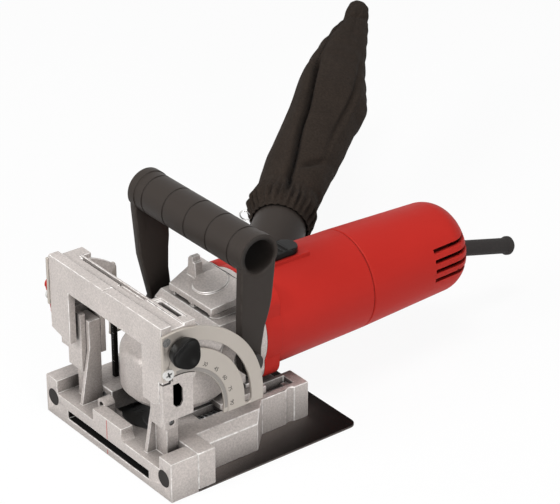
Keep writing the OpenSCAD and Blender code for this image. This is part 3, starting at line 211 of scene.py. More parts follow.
@dataclass
class Effects:
    """Builds each shared node group once."""

    made: dict[Effect, bpy.types.NodeTree] = field(default_factory=dict)
    # How far off a neighbour still paints shade, and how much deep places stand out from shallow
    # ones
    skin_shade: tuple[float, float] = (0.03, 2.0)
    cloth_shade: tuple[float, float] = (0.012, 1.3)
    shade_samples: int = 6
    darkest: float = 0.03
    # Marks to the metre
    blotches: float = 34.0
    patches: float = 210.0
    smears: float = 45.0
    stains: float = 42.0
    fibres: float = 640.0
    # Weights of grain and blotches in a skin's tone
    skin_tone: tuple[float, float] = (3.2, 1.6)
    # Weights of blotches, patches, closed places and rubbed edges in its roughness
    skin_rough: tuple[float, float, float, float] = (0.16, 0.08, 0.4, -0.12)
    skin_patch_height: float = 0.35
    # Noise below the first value leaves an edge without rubbing and painted highlight, above the
    # second it has them fully
    rub: tuple[float, float] = (0.3, 0.62)
    line_rough: float = 0.2
    fibre_tone: float = 2.6
    fibre_rough: float = 0.12
    fibre_height: float = 0.6
    # Height of a thread that keeps its colour, and how much the others change it
    thread_tone: tuple[float, float] = (0.6, 0.25)

    def group(self, effect: Effect) -> bpy.types.NodeTree:
        """Give the group of an effect, and build it the first time.

        Args:
            effect: Which group.

        Returns:
            The shader node group.
        """
        if effect not in self.made:
            build = {Effect.SKIN: self.skin, Effect.LINES: self.lines, Effect.WEAVE: self.weave}
            self.made[effect] = build[effect]()
        return self.made[effect]

    @staticmethod
    def start(effect: Effect, inputs: dict[str, object]) -> tuple[Graph, object, object]:
        """Open a group with its sockets; a colour, a roughness and a height come out of it.

        Args:
            effect: Which group.
            inputs: Input names with their default values.

        Returns:
            The graph, the input node's sockets and the output node's sockets.
        """
        tree = bpy.data.node_groups.new(effect.value, "ShaderNodeTree")
        kinds = {float: "NodeSocketFloat", tuple: "NodeSocketColor", Vector: "NodeSocketVector"}
        for name, value in inputs.items():
            kind = kinds[type(value)]
            socket = tree.interface.new_socket(name, in_out="INPUT", socket_type=kind)
            socket.default_value = value
        for name, kind in (("Color", tuple), ("Roughness", float), ("Height", float)):
            tree.interface.new_socket(name, in_out="OUTPUT", socket_type=kinds[kind])
        graph = Graph(tree)
        return graph, graph.add("NodeGroupInput").outputs, graph.add("NodeGroupOutput").inputs

    def shade(self, graph: Graph, reach: float, power: float,
              grime: object) -> bpy.types.NodeSocket:
        """Give how much a closed-in place keeps of its tone under painted shade; above 1 it is a
        painted reflection.

        Args:
            graph: The group's graph.
            reach: How far off a neighbour still darkens.
            power: How much the deep places stand out from the shallow ones.
            grime: How much painted shade the most closed place gets; below zero it gets a painted
                reflection and turns lighter.

        Returns:
            A factor, 1 in the open.
        """
        occlusion = graph.add("ShaderNodeAmbientOcclusion", {"Distance": reach},
                              samples=self.shade_samples)
        shut = graph.math("POWER", graph.math("SUBTRACT", 1.0, occlusion.outputs["AO"]), power)
        kept = graph.math("SUBTRACT", 1.0, graph.math("MULTIPLY", shut, grime))
        return graph.math("MAXIMUM", kept, self.darkest)

    def skin(self) -> bpy.types.NodeTree:
        """Grain, blotches, painted shade in hollows and rubbed edges with painted highlights on a
        cast or moulded surface.

        Returns:
            The group.
        """
        graph, given, out = self.start(Effect.SKIN, {
            "Color": (0.5, 0.5, 0.5, 1.0), "Rubbed And Highlit Edge Color": (0.8, 0.8, 0.8, 1.0), "Roughness": 0.5,
            "Grain": 0.0006, "Mottle": 0.05, "Wear": 0.2, "Grime": 0.5})
        place = graph.add("ShaderNodeTexCoord").outputs["Object"]
        edge = graph.add("ShaderNodeAttribute", attribute_name="edge").outputs["Fac"]
        fine = graph.noise(place, graph.math("DIVIDE", 1.0, given["Grain"]), detail=3.0)
        broad = graph.noise(place, self.blotches, detail=4.0)
        middle = graph.noise(place, self.patches, detail=2.0)
        tones = (graph.centred(fine), graph.centred(broad))
        sway = graph.weighed(0.0, *zip(tones, self.skin_tone))
        level = graph.math("MULTIPLY_ADD", sway, given["Mottle"], 1.0)
        # Painted shade in closed-in places; a level below zero paints a reflection there instead
        kept = self.shade(graph, *self.skin_shade, given["Grime"])
        tint = graph.scaled(given["Color"], graph.math("MULTIPLY", level, kept))
        # Rubbed edges, partly painted edge highlights, patchy along the edge
        low, high = self.rub
        where = graph.add("ShaderNodeMapRange", {
            "Value": middle, "From Min": low, "From Max": high}).outputs[0]
        rubbed = graph.math("MULTIPLY", graph.math("MULTIPLY", edge, given["Wear"]), where)
        graph.put(out["Color"], graph.mix(rubbed, tint, given["Rubbed And Highlit Edge Color"]))
        shut = graph.math("SUBTRACT", 1.0, graph.math("MINIMUM", kept, 1.0))
        terms = zip((graph.centred(broad), graph.centred(middle), shut, rubbed), self.skin_rough)
        graph.put(out["Roughness"], graph.weighed(given["Roughness"], *terms))
        graph.put(out["Height"], graph.weighed(fine, (middle, self.skin_patch_height)))
        return graph.tree

    def lines(self) -> bpy.types.NodeTree:
        """Fine drawn lines of a machined or brushed face.

        Returns:
            The group.
        """
        graph, given, out = self.start(Effect.LINES, {
            "Color": (0.6, 0.6, 0.6, 1.0), "Roughness": 0.35,
            "Stretch": Vector((2200.0, 2200.0, 60.0)), "Mottle": 0.08})
        place = graph.add("ShaderNodeTexCoord").outputs["Object"]
        sockets = {0: place, 1: given["Stretch"]}
        drawn = graph.add("ShaderNodeVectorMath", sockets, operation="MULTIPLY").outputs[0]
        line = graph.noise(drawn, 1.0, detail=3.0)
        broad = graph.noise(place, self.smears, detail=3.0)
        sway = graph.math("ADD", graph.centred(line), graph.centred(broad))
        level = graph.math("MULTIPLY_ADD", sway, given["Mottle"], 1.0)
        graph.put(out["Color"], graph.scaled(given["Color"], level))
        graph.put(out["Roughness"], graph.weighed(given["Roughness"], (sway, self.line_rough)))
        graph.put(out["Height"], line)
        return graph.tree

    def weave(self) -> bpy.types.NodeTree:
        """Plain weave on a piece's own UV map, whose unit is the metre, with painted shade in its
        creases.

        Returns:
            The group.
        """
        graph, given, out = self.start(Effect.WEAVE, {
            "Color": (0.05, 0.05, 0.05, 1.0), "Thread": 0.0007, "Mottle": 0.2, "Roughness": 0.85,
            "Grime": 0.9})
        flat = graph.add("ShaderNodeUVMap", uv_map="cloth").outputs[0]
        split = graph.add("ShaderNodeSeparateXYZ", {0: flat}).outputs
        turn = graph.math("DIVIDE", math.pi, given["Thread"])
        warp, weft = (graph.math("SINE", graph.math("MULTIPLY", split[axis], turn))
                      for axis in (0, 1))
        over = graph.math("GREATER_THAN", graph.math("MULTIPLY", warp, weft), 0.0)
        lengthwise, across = graph.math("ABSOLUTE", warp), graph.math("ABSOLUTE", weft)
        gap = graph.math("MULTIPLY", over, graph.math("SUBTRACT", lengthwise, across))
        thread = graph.math("ADD", gap, across)
        place = graph.add("ShaderNodeTexCoord").outputs["Object"]
        broad = graph.noise(place, self.stains, detail=4.0)
        fuzz = graph.noise(place, self.fibres, detail=2.0)
        sway = graph.weighed(graph.centred(broad), (graph.centred(fuzz), self.fibre_tone))
        level = graph.math("MULTIPLY_ADD", sway, given["Mottle"], 1.0)
        even, share = self.thread_tone
        level = graph.weighed(level, (graph.math("SUBTRACT", thread, even), share))
        # Painted shade in the cloth's creases
        level = graph.math("MULTIPLY", level, self.shade(graph, *self.cloth_shade, given["Grime"]))
        graph.put(out["Color"], graph.scaled(given["Color"], level))
        graph.put(out["Roughness"], graph.weighed(given["Roughness"], (sway, self.fibre_rough)))
        graph.put(out["Height"], graph.weighed(thread, (fuzz, self.fibre_height)))
        return graph.tree


@dataclass(frozen=True)
class Finish:
    """One finish: its colour, its gloss and the effect that breaks it up."""

    slot: str
    colour: Colour
    metal: float = 0.0
    rough: float = 0.5
    effect: Effect = Effect.SKIN
    grain: float = 0.0006
    mottle: float = 0.05
    # How much the bevelled edges show rubbing and painted edge highlights
    wear: float = 0.0
    # How much painted shade closed-in places get; below zero they get a painted reflection instead
    grime: float = 0.5
    # Colour of the rubbed edges, partly a painted edge highlight
    rubbed: Colour = (0.8, 0.8, 0.8)
    bump: float = 0.15
    depth: float = 0.00003
    stretch: tuple[float, float, float] = (2200.0, 2200.0, 60.0)
    specular: float = 0.5
    sheen: float = 0.0

    def material(self, effects: Effects) -> bpy.types.Material:
        """Make the material of this finish.

        Args:
            effects: The shared node groups.

        Returns:
            A node material named after the slot.
        """
        made = bpy.data.materials.new(self.slot)
        made.use_nodes = True
        made.node_tree.nodes.clear()
        graph = Graph(made.node_tree)
        group = graph.add("ShaderNodeGroup", node_tree=effects.group(self.effect))
        values = {
            "Color": (*self.colour, 1.0), "Roughness": self.rough, "Mottle": self.mottle,
            "Grain": self.grain, "Rubbed And Highlit Edge Color": (*self.rubbed, 1.0), "Wear": self.wear,
            "Grime": self.grime, "Stretch": self.stretch, "Thread": self.grain}
        for socket in group.inputs:
            graph.put(socket, values[socket.name])
        bump = graph.add("ShaderNodeBump", {
            "Strength": self.bump, "Distance": self.depth, "Height": group.outputs["Height"]})
        shader = graph.add("ShaderNodeBsdfPrincipled", {
            "Base Color": group.outputs["Color"], "Roughness": group.outputs["Roughness"],
            "Normal": bump.outputs[0], "Metallic": self.metal,
            "Specular IOR Level": self.specular, "Sheen Weight": self.sheen})
        graph.add("ShaderNodeOutputMaterial", {"Surface": shader.outputs[0]})
        made.diffuse_color = (*self.colour, 1.0)
        return made


def ink(slot: str, colour: Colour, metal: float = 0.0, rough: float = 0.6,
        **more: float) -> Finish:
    """Give the finish of a printed or painted mark, or of a dark sheet of painted shade."""
    return Finish(slot, colour, metal, rough, grain=0.0003, bump=0.05, **more)


# A shade level paints shade into closed-in places: holes, grooves, creases and gaps between parts
FINISHES = (
    # The near-white rubbed edges of the cast aluminium are partly painted edge highlights
    Finish("cast_aluminium", linear(190, 182, 177), 0.28, 0.42, grain=0.0012, mottle=0.26,
           wear=0.95, grime=1.05, rubbed=linear(250, 248, 245), bump=0.5, depth=0.00009,
           specular=0.4),
    Finish("machined_aluminium", linear(178, 170, 161), 0.3, 0.42, Effect.LINES, mottle=0.06,
           bump=0.12, stretch=(1800.0, 1800.0, 70.0)),
    # Its shade level below zero paints a reflection of the parts nearby: the sole is lighter where
    # they close in
    Finish("black_coating", linear(17, 15, 14), 0.0, 0.35, grain=0.0004, mottle=0.08, wear=0.3,
           grime=-60.0, rubbed=linear(80, 78, 76), bump=0.2, specular=0.03),
    Finish("steel", linear(150, 150, 150), 0.8, 0.34, Effect.LINES, mottle=0.08, bump=0.08,
           stretch=(2600.0, 90.0, 2600.0)),
    Finish("blade_steel", linear(160, 160, 160), 0.85, 0.3, Effect.LINES, mottle=0.08, bump=0.1,
           stretch=(1400.0, 120.0, 1400.0)),
    Finish("zinc", linear(214, 213, 210), 0.75, 0.24, grain=0.0003, mottle=0.04, wear=0.3,
           rubbed=linear(246, 246, 244), bump=0.08),
    Finish("lamination", linear(96, 96, 100), 0.8, 0.42, Effect.LINES, mottle=0.2, bump=0.4,
           stretch=(60.0, 1600.0, 60.0)),
    Finish("copper", linear(184, 104, 62), 0.9, 0.34, grain=0.0009, mottle=0.15, bump=0.3),
    Finish("brass", linear(190, 152, 80), 0.9, 0.32, grain=0.0005, mottle=0.08, bump=0.1),
    Finish("red_plastic", linear(175, 40, 33), grain=0.00035, wear=0.25, grime=1.4,
           rubbed=linear(206, 66, 56), bump=0.22, specular=0.1),
    Finish("grey_plastic", linear(48, 42, 38), grain=0.0004, mottle=0.08, wear=0.3, grime=1.3,
           rubbed=linear(84, 79, 75), bump=0.35, depth=0.00004, specular=0.17),
    Finish("black_plastic", linear(12, 11, 10), 0.0, 0.36, grain=0.0004, mottle=0.08, wear=0.3,
           rubbed=linear(64, 61, 59), bump=0.2, specular=0.12),
    Finish("pad_rubber", linear(46, 43, 42), 0.0, 0.75, grain=0.0007, mottle=0.1, wear=0.2,
           rubbed=linear(76, 72, 70), bump=0.5, depth=0.00006, specular=0.2),
    Finish("bag_fabric", linear(49, 42, 37), 0.0, 0.9, Effect.WEAVE, grain=0.0007, mottle=0.4,
           grime=0.95, bump=0.5, depth=0.00018, specular=0.03, sheen=0.02),
    Finish("black_zinc", linear(58, 55, 53), 0.5, 0.42, grain=0.0003, bump=0.08, specular=0.3),
    ink("scale_ink", linear(40, 38, 36)),
    ink("rim_ink", linear(138, 133, 128), 0.1, 0.5, mottle=0.06),
    ink("pale_ink", linear(196, 193, 188)),
    # Dark thread of the stitches, and painted shade on the sheets in slots, the pocket and the
    # screws' crosses
    ink("dark_ink_and_painted_shade", linear(22, 21, 20), rough=0.7, specular=0.15),
    ink("line_ink", linear(176, 50, 46), mottle=0.08),
)


@dataclass
class Workshop:
    """What every sub-assembly needs: the frame, the finishes and how pieces are put in place."""

    frame: dict
    effects: Effects = field(default_factory=Effects)
    slots: dict[str, str] = field(init=False)
    bodies: dict[str, str] = field(init=False)
    materials: dict[str, bpy.types.Material] = field(init=False)

    def __post_init__(self) -> None:
        """Read which finish and which body each CAD node has, and make the finishes."""
        rows = self.frame["record"]["subparts"]
        self.slots = {row["node"]: row["material_slot"] for row in rows}
        self.bodies = {name: node["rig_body"] for name, node in self.frame["nodes"].items()}
        self.materials = {finish.slot: finish.material(self.effects) for finish in FINISHES}

    def place(self, name: str, shape: bmesh.types.BMesh, body: str, finish: str,
              slot: str | None = None, smooth: float = 52.0,
              even: bool = True) -> bpy.types.Object:
        """Turn a finished bmesh into a piece that rides on a body.

        Args:
            name: The piece's name.
            shape: Its bmesh, which is freed.
            body: The CAD body that it moves with.
            finish: The finish that it wears.
            slot: The record's slot, where it isn't the finish. Not used.
            smooth: Angle in degrees above which an edge stays sharp.
            even: Whether normals are weighted by face area.

        Returns:
            The new object.
        """
        mesh = bpy.data.meshes.new(name)
        shape.to_mesh(mesh)
        shape.free()
        mesh.polygons.foreach_set("use_smooth", [True] * len(mesh.polygons))
        mesh.set_sharp_from_angle(angle=math.radians(smooth))
        mesh.materials.append(self.materials[finish])
        piece = bpy.data.objects.new(name, mesh)
        bpy.context.scene.collection.objects.link(piece)
        if even:
            piece.modifiers.new("even shading", "WEIGHTED_NORMAL").keep_sharp = True
        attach(piece, body)
        LOG.info("%s: %d faces on %s", name, len(mesh.polygons), body)
        return piece

    def paint_nodes(self) -> None:
        """Give each CAD node the material of its slot."""
        for name, node in self.frame["nodes"].items():
            node.data.materials.clear()
            node.data.materials.append(self.materials[self.slots[name]])


@dataclass
class RoundedCopy:
    """A copy of a CAD node with its edges broken, as casting and moulding leave them."""

    node: str
    radius: float
    shortest: float = 0.0
    finish: str | None = None
    steps: int = 2
    sharp: float = 32.0
    shares: tuple[float, ...] = (1.0, 0.8, 0.6, 0.45, 0.35, 0.2)
    weld: float = 2e-6
    flat: float = 0.8
    # What a bevel may change: the box, the share of the volume and the share of folded area
    swell: float = 0.00003
    loss: float = 0.07
    fold: float = 0.003

    def merged(self, source: bpy.types.Mesh) -> bmesh.types.BMesh:
        """Merge the loose triangles of a CAD mesh into flat faces.

        Args:
            source: The CAD node's mesh.

        Returns:
            A closed bmesh.
        """
        shape = bmesh.new()
        shape.from_mesh(source)
        bmesh.ops.remove_doubles(shape, verts=shape.verts, dist=self.weld)
        bmesh.ops.dissolve_limit(shape, angle_limit=math.radians(self.flat), verts=shape.verts,
                                 edges=shape.edges)
        return shape

    @staticmethod
    def measure(shape: bmesh.types.BMesh) -> tuple[float, Vector, Vector]:
        """Give a bmesh's volume and the corners of its box."""
        places = list(zip(*(vertex.co for vertex in shape.verts)))
        return shape.calc_volume(), Vector(map(min, places)), Vector(map(max, places))

    @staticmethod
    def folded(shape: bmesh.types.BMesh) -> float:
        """Give the share of a bmesh's area where its triangles lie over each other.

        Args:
            shape: The bmesh, which stays as it is.

        Returns:
            The share, 0 where none do.
        """
        copy = shape.copy()
        plain = sum(face.calc_area() for face in copy.faces)
        bmesh.ops.triangulate(copy, faces=copy.faces[:])
        cover = sum(face.calc_area() for face in copy.faces)
        copy.free()
        return cover / plain - 1.0

    def broken(self, shape: bmesh.types.BMesh, radius: float, split: bool) -> bmesh.types.BMesh:
        """Bevel the sharp edges of a copy, and mark the bevels for wear and painted edge
        highlights.

        Args:
            shape: The merged bmesh, which stays as it is.
            radius: Width of the bevel.
            split: Whether hollow-cornered faces are cut up first.

        Returns:
            The bevelled copy.
        """
        copy = shape.copy()
        if split:
            bmesh.ops.connect_verts_concave(copy, faces=copy.faces[:])
        limit = math.radians(self.sharp)
        edges = [edge for edge in copy.edges
                 if edge.is_manifold and edge.calc_face_angle(0.0) > limit
                 and edge.calc_length() > self.shortest]
        made = bmesh.ops.bevel(copy, geom=edges, offset=radius, offset_type="OFFSET",
                               affect="EDGES", segments=self.steps, profile=0.5, material=-1,
                               clamp_overlap=False, loop_slide=True)
        worn_and_highlit = copy.verts.layers.float.new("edge")
        faces = set(made["faces"])
        for vertex in {vertex for face in faces for vertex in face.verts}:
            vertex[worn_and_highlit] = 1.0 if all(face in faces for face in vertex.link_faces) else 0.0
        return copy

    def widest(self, shape: bmesh.types.BMesh) -> tuple[bmesh.types.BMesh, float]:
        """Try ever narrower bevels until one keeps the node's form.

        Args:
            shape: The merged bmesh, which is freed where a bevel holds.

        Returns:
            The bevelled copy and its bevel, or the bmesh itself and zero.
        """
        volume, low, high = self.measure(shape)
        for share, split in itertools.product(self.shares, (True, False)):
            trial = self.broken(shape, self.radius * share, split)
            bulk, below, above = self.measure(trial)
            grown = max(max(low - below), max(above - high))
            if (grown < self.swell and abs(bulk - volume) < self.loss * abs(volume)
                    and self.folded(trial) < self.fold):
                shape.free()
                return trial, self.radius * share
            trial.free()
        return shape, 0.0

    def build(self, shop: Workshop) -> None:
        """Make the copy and let it stand for the node.

        Args:
            shop: The workshop.
        """
        slot = shop.slots[self.node]
        shape, radius = self.widest(self.merged(shop.frame["nodes"][self.node].data))
        LOG.info("%s: bevel %.2f mm", self.node, radius / MM)
        piece = shop.place(f"{self.node}_dressed", shape, shop.bodies[self.node],
                           self.finish or slot, slot)
        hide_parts(self.node)


@dataclass
class ScaleMarks:
    """Printed and painted marks, and dark sheets of painted shade in slots, recesses and screw
    crosses.

    Its angles are in degrees.
    """

    ink: float = 0.04 * MM
    face_x: float = 61.8 * MM
    pivot: tuple[float, float] = (11.5 * MM, 49.0 * MM)
    angles: tuple[int, ...] = (30, 45, 60, 75, 90)
    number_r: float = 38.6 * MM
    # Size of the type that makes figures 2.7 mm high
    number_size: float = 2.7 * MM * 1.38
    rim: tuple[float, float] = (33.6 * MM, 36.0 * MM)
    rim_deep: float = 0.56 * MM
    # First elevation of the rim's rows, the end that they stop short of, and their step
    rim_rows: tuple[int, int, int] = (-4, 94, 2)
    cross: Place = (62.62 * MM, 3.5 * MM, 85.5 * MM)
    cross_half: tuple[float, float] = (2.08 * MM, 0.48 * MM)
    cross_turn: float = 20.0
    # Left and right edge and front face of the height scale, then its first mark, pitch and count
    scale: Place = (-40.0 * MM, -37.3 * MM, 32.3 * MM)
    scale_z: tuple[float, float, int] = (38.0 * MM, 4.0 * MM, 10)
    # Share of the scale's width that a mark takes, and its gap at the right edge
    long_mark: tuple[float, float] = (0.96, 0.0)
    short_mark: tuple[float, float] = (0.6, 0.9 * MM)
    long_every: int = 5
    mark_high: float = 0.58 * MM
    line: tuple[tuple[float, float], ...] = ((0.9 * MM, 4.2 * MM), (11.8 * MM, 25.2 * MM))
    line_half: float = 0.3 * MM
    pocket_x: float = 58.2 * MM
    # Corners of the sheet of painted shade in the pocket on the carriage's right side, behind the
    # front face and above the sole, in millimetres
    pocket: tuple[tuple[float, float], ...] = (
        (8.7, 61.2), (11.2, 58.8), (14.4, 58.8), (16.1, 61.8), (16.1, 70.7), (13.4, 75.2),
        (8.7, 75.2))
    # Corners of the sheets of painted shade in the cutter's slot and under the slot in the fence's
    # deck
    slot_low: Place = (-44.0 * MM, 0.7 * MM, 5.0 * MM)
    slot_high: Place = (44.0 * MM, 19.6 * MM, 11.0 * MM)
    deck_low: Place = (28.0 * MM, 20.0 * MM, 109.4 * MM)
    deck_high: Place = (49.0 * MM, 23.8 * MM, 109.8 * MM)

    def at(self, radius: float, elevation: float) -> Vector:
        """Give a point on the protractor's face.

        Args:
            radius: Distance from the fence's hinge.
            elevation: Angle above the level, in degrees.

        Returns:
            The point.
        """
        turn = math.radians(elevation)
        across, up = self.pivot
        return Vector((self.face_x, across + radius * math.cos(turn),
                       up + radius * math.sin(turn)))

    def number(self, text: str) -> bpy.types.Mesh:
        """Make a flat number as a mesh, centred on the origin.

        Args:
            text: The figures.

        Returns:
            The mesh, in the XY plane.
        """
        curve = bpy.data.curves.new(f"figure_{text}", "FONT")
        curve.body, curve.size, curve.extrude = text, self.number_size, self.ink
        curve.align_x, curve.align_y = "CENTER", "CENTER"
        holder = bpy.data.objects.new(curve.name, curve)
        bpy.context.scene.collection.objects.link(holder)
        bpy.context.view_layer.update()
        graph = bpy.context.evaluated_depsgraph_get()
        mesh = bpy.data.meshes.new_from_object(holder.evaluated_get(graph))
        bpy.data.objects.remove(holder)
        return mesh

    @staticmethod
    def block(shape: bmesh.types.BMesh, low: Vector, high: Vector,
              turn: Matrix | None = None) -> None:
        """Add a box between two corners, turned about its middle if asked.

        Args:
            shape: The bmesh that it goes into.
            low: Its low corner.
            high: Its high corner.
            turn: A rotation.
        """
        size = Matrix.Diagonal((*(high - low), 1.0))
        place = Matrix.Translation((low + high) / 2)
        matrix = place @ (turn or Matrix.Identity(4)) @ size
        bmesh.ops.create_cube(shape, size=1.0, matrix=matrix)

    def figures(self, shop: Workshop) -> None:
        """Print the protractor's numbers, their tops outward.

        Args:
            shop: The workshop.
        """
        shape = bmesh.new()
        upright = Matrix(((0, 0, 1), (1, 0, 0), (0, 1, 0))).to_4x4()
        for value in self.angles:
            mesh = self.number(str(value))
            place = Matrix.Translation(self.at(self.number_r, 90 - value))
            turn = Matrix.Rotation(math.radians(-value), 4, "X")
            mesh.transform(place @ turn @ upright)
            shape.from_mesh(mesh)
        shop.place("protractor_figures", shape, "tilting_fence", "scale_ink", "black_plastic",
                   even=False)

    def band(self, shop: Workshop) -> None:
        """Lay the grey band on the step along the protractor's inner edge.

        Args:
            shop: The workshop.
        """
        shape = bmesh.new()
        down = Vector((-self.rim_deep, 0.0, 0.0))
        rows = [[shape.verts.new(self.at(radius, step) + down) for radius in self.rim]
                for step in range(*self.rim_rows)]
        for first, second in zip(rows, rows[1:]):
            shape.faces.new((first[0], first[1], second[1], second[0]))
        bmesh.ops.recalc_face_normals(shape, faces=shape.faces)
        if sum(face.normal.x for face in shape.faces) < 0:
            bmesh.ops.reverse_faces(shape, faces=shape.faces)
        shop.place("protractor_rim", shape, "tilting_fence", "rim_ink", "machined_aluminium",
                   even=False)

    def crosses(self, shop: Workshop) -> None:
        """Paint shade into the cross recesses of the two pan-head screws with dark strips.

        Args:
            shop: The workshop.
        """
        shape = bmesh.new()
        half = Vector((self.ink, *self.cross_half))
        for side in (-1, 1):
            middle = Vector((side * self.cross[0], self.cross[1], self.cross[2]))
            for quarter in (0, 90):
                turn = math.radians(side * self.cross_turn + quarter)
                self.block(shape, middle - half, middle + half, Matrix.Rotation(turn, 4, "X"))
        shop.place("screw_recess_shade", shape, "tilting_fence", "dark_ink_and_painted_shade", "black_plastic",
                   even=False)

    def pocket_shade(self, shop: Workshop) -> None:
        """Close the carriage's pocket with a dark floor of painted shade.

        Args:
            shop: The workshop.
        """
        shape = bmesh.new()
        corners = [shape.verts.new((self.pocket_x, y * MM, z * MM)) for y, z in self.pocket]
        bmesh.ops.solidify(shape, geom=[shape.faces.new(corners)], thickness=self.ink)
        bmesh.ops.recalc_face_normals(shape, faces=shape.faces)
        shop.place("pocket_shade", shape, "height_carriage", "dark_ink_and_painted_shade", "black_plastic",
                   even=False)

    def slot_shade(self, shop: Workshop) -> None:
        """Blacken the cutter's slot and close the slot in the fence's deck, with sheets of painted
        shade.

        Args:
            shop: The workshop.
        """
        shape = bmesh.new()
        low, high = Vector(self.slot_low), Vector(self.slot_high)
        self.block(shape, low, Vector((high.x, high.y, low.z + self.ink)))
        self.block(shape, low, Vector((low.x + self.ink, high.y, high.z)))
        self.block(shape, Vector((high.x - self.ink, low.y, low.z)), high)
        shop.place("cutter_slot_shade", shape, "base", "dark_ink_and_painted_shade", "black_plastic", even=False)
        shape = bmesh.new()
        self.block(shape, Vector(self.deck_low), Vector(self.deck_high))
        shop.place("deck_slot_shade", shape, "tilting_fence", "dark_ink_and_painted_shade", "black_plastic",
                   even=False)

    def height_marks(self, shop: Workshop) -> None:
        """Fill the grooves of the height scale with pale paint.

        Args:
            shop: The workshop.
        """
        shape = bmesh.new()
        low_x, high_x, face_y = self.scale
        first, pitch, count = self.scale_z
        for step in range(count):
            share, gap = self.short_mark if step % self.long_every else self.long_mark
            left, bottom = high_x - (high_x - low_x) * share, first + step * pitch
            low = Vector((left, face_y - 2 * self.ink, bottom))
            high = Vector((high_x - gap, face_y + self.ink, bottom + self.mark_high))
            self.block(shape, low, high)
        shop.place("height_marks", shape, "base", "pale_ink", "black_plastic", even=False)

    def centre_line(self, shop: Workshop) -> None:
        """Lay the red centre line on the front face, above and below the cutter's slot.

        Args:
            shop: The workshop.
        """
        shape = bmesh.new()
        for low, high in self.line:
            self.block(shape, Vector((-self.line_half, -self.ink, low)),
                       Vector((self.line_half, self.ink, high)))
        shop.place("centre_line", shape, "base", "line_ink", "red_plastic", even=False)

    def build(self, shop: Workshop) -> None:
        """Make all the marks.

        Args:
            shop: The workshop.
        """
        for mark in (self.figures, self.band, self.crosses, self.pocket_shade, self.slot_shade,
                     self.height_marks, self.centre_line):
            mark(shop)


@dataclass
class ReturnSprings:
    """Round-wire return springs on the two guide rods."""

    rod_x: float = 31.5 * MM
    rod_z: float = 20.0 * MM
    wire: float = 0.45 * MM
    turns: float = 11.0
    per_turn: int = 28
    sides: int = 10
    keep: float = 0.52

    def build(self, shop: Workshop) -> None:
        """Wind both springs on the base.

        Args:
            shop: The workshop.
        """
        low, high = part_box("return_springs")
        radius = (high.x - low.x) / 2 - self.rod_x - self.wire
        front, back = low.y + self.wire, high.y - self.wire
        steps = int(self.turns * self.per_turn)
        shape = bmesh.new()
        for side in (-1, 1):
            middle = Vector((side * self.rod_x, 0.0, self.rod_z))
            start = Matrix.Translation(middle + Vector((radius, front, 0.0)))
            ring = bmesh.ops.create_circle(shape, segments=self.sides, radius=self.wire,
                                           cap_ends=True, matrix=start)["verts"]
            geometry = ring + list({edge for vertex in ring for edge in vertex.link_edges})
            geometry += list({face for vertex in ring for face in vertex.link_faces})
            bmesh.ops.spin(shape, geom=geometry, cent=middle, axis=(0, 1, 0),
                           dvec=(0, (back - front) / steps, 0), angle=2 * math.pi * self.turns,
                           steps=steps, use_duplicate=False)
        bmesh.ops.recalc_face_normals(shape, faces=shape.faces)
        piece = shop.place("round_wire_springs", shape, "base", "steel", even=False)
        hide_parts("return_springs")
        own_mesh(piece)


@dataclass
class ClampKnob:
    """Three-lobed knob with a dished face, on its stud in the protractor's slot.

    Its sizes are in millimetres, and the turn of its lobes is in degrees.
    """

    back_x: float = 63.0
    axis: tuple[float, float] = (11.5, 100.0)
    lobes: int = 3
    lobe_turn: float = 63.0
    sides: int = 96
    stud_r: float = 2.4
    stud_lead: float = 0.3
    # Distance from the knob's back, mean radius and height of the lobes
    profile: tuple[tuple[float, float, float], ...] = (
        (0.0, 6.3, 0.0), (0.3, 6.7, 0.0), (1.0, 6.8, 0.1), (1.4, 7.8, 0.5), (2.0, 8.3, 0.65),
        (4.0, 8.8, 0.75), (7.0, 9.5, 0.88), (8.4, 9.75, 0.92), (9.0, 9.65, 0.92),
        (9.35, 9.4, 0.9), (9.5, 9.0, 0.88), (9.4, 8.4, 0.82), (8.9, 7.5, 0.7), (8.2, 6.2, 0.5),
        (7.5, 4.7, 0.3), (7.1, 3.0, 0.1), (6.9, 1.2, 0.0))

    def ring(self, shape: bmesh.types.BMesh, x: float, radius: float,
             lobe: float) -> list[bmesh.types.BMEdge]:
        """Add one ring of the knob.

        Args:
            shape: The bmesh that it goes into.
            x: Its place along the stud.
            radius: Its mean radius.
            lobe: How far the lobes stand out.

        Returns:
            The ring's edges.
        """
        verts = bmesh.ops.create_circle(shape, segments=self.sides, radius=1.0)["verts"]
        across, up = self.axis
        for vert in verts:
            turn = math.atan2(vert.co.y, vert.co.x)
            reach = radius + lobe * math.cos(self.lobes * (turn - math.radians(self.lobe_turn)))
            place = (x, across + reach * math.cos(turn), up + reach * math.sin(turn))
            vert.co = Vector(place) * MM
        return list({edge for vert in verts for edge in vert.link_edges})

    def build(self, shop: Workshop) -> None:
        """Loft the knob from its rings and put it on its body.

        Args:
            shop: The workshop.
        """
        shape = bmesh.new()
        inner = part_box("tilt_knob")[0][0] / MM
        rows = [(inner, self.stud_r - self.stud_lead, 0.0),
                (inner + self.stud_lead, self.stud_r, 0.0), (self.back_x, self.stud_r, 0.0)]
        rows += [(self.back_x + x, radius, lobe) for x, radius, lobe in self.profile]
        rings = [self.ring(shape, *row) for row in rows]
        for first, second in zip(rings, rings[1:]):
            bmesh.ops.bridge_loops(shape, edges=first + second)
        bmesh.ops.holes_fill(shape, edges=rings[0] + rings[-1], sides=0)
        bmesh.ops.recalc_face_normals(shape, faces=shape.faces)
        piece = shop.place("clamp_knob", shape, "knob", "black_plastic")
        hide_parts("tilt_knob")


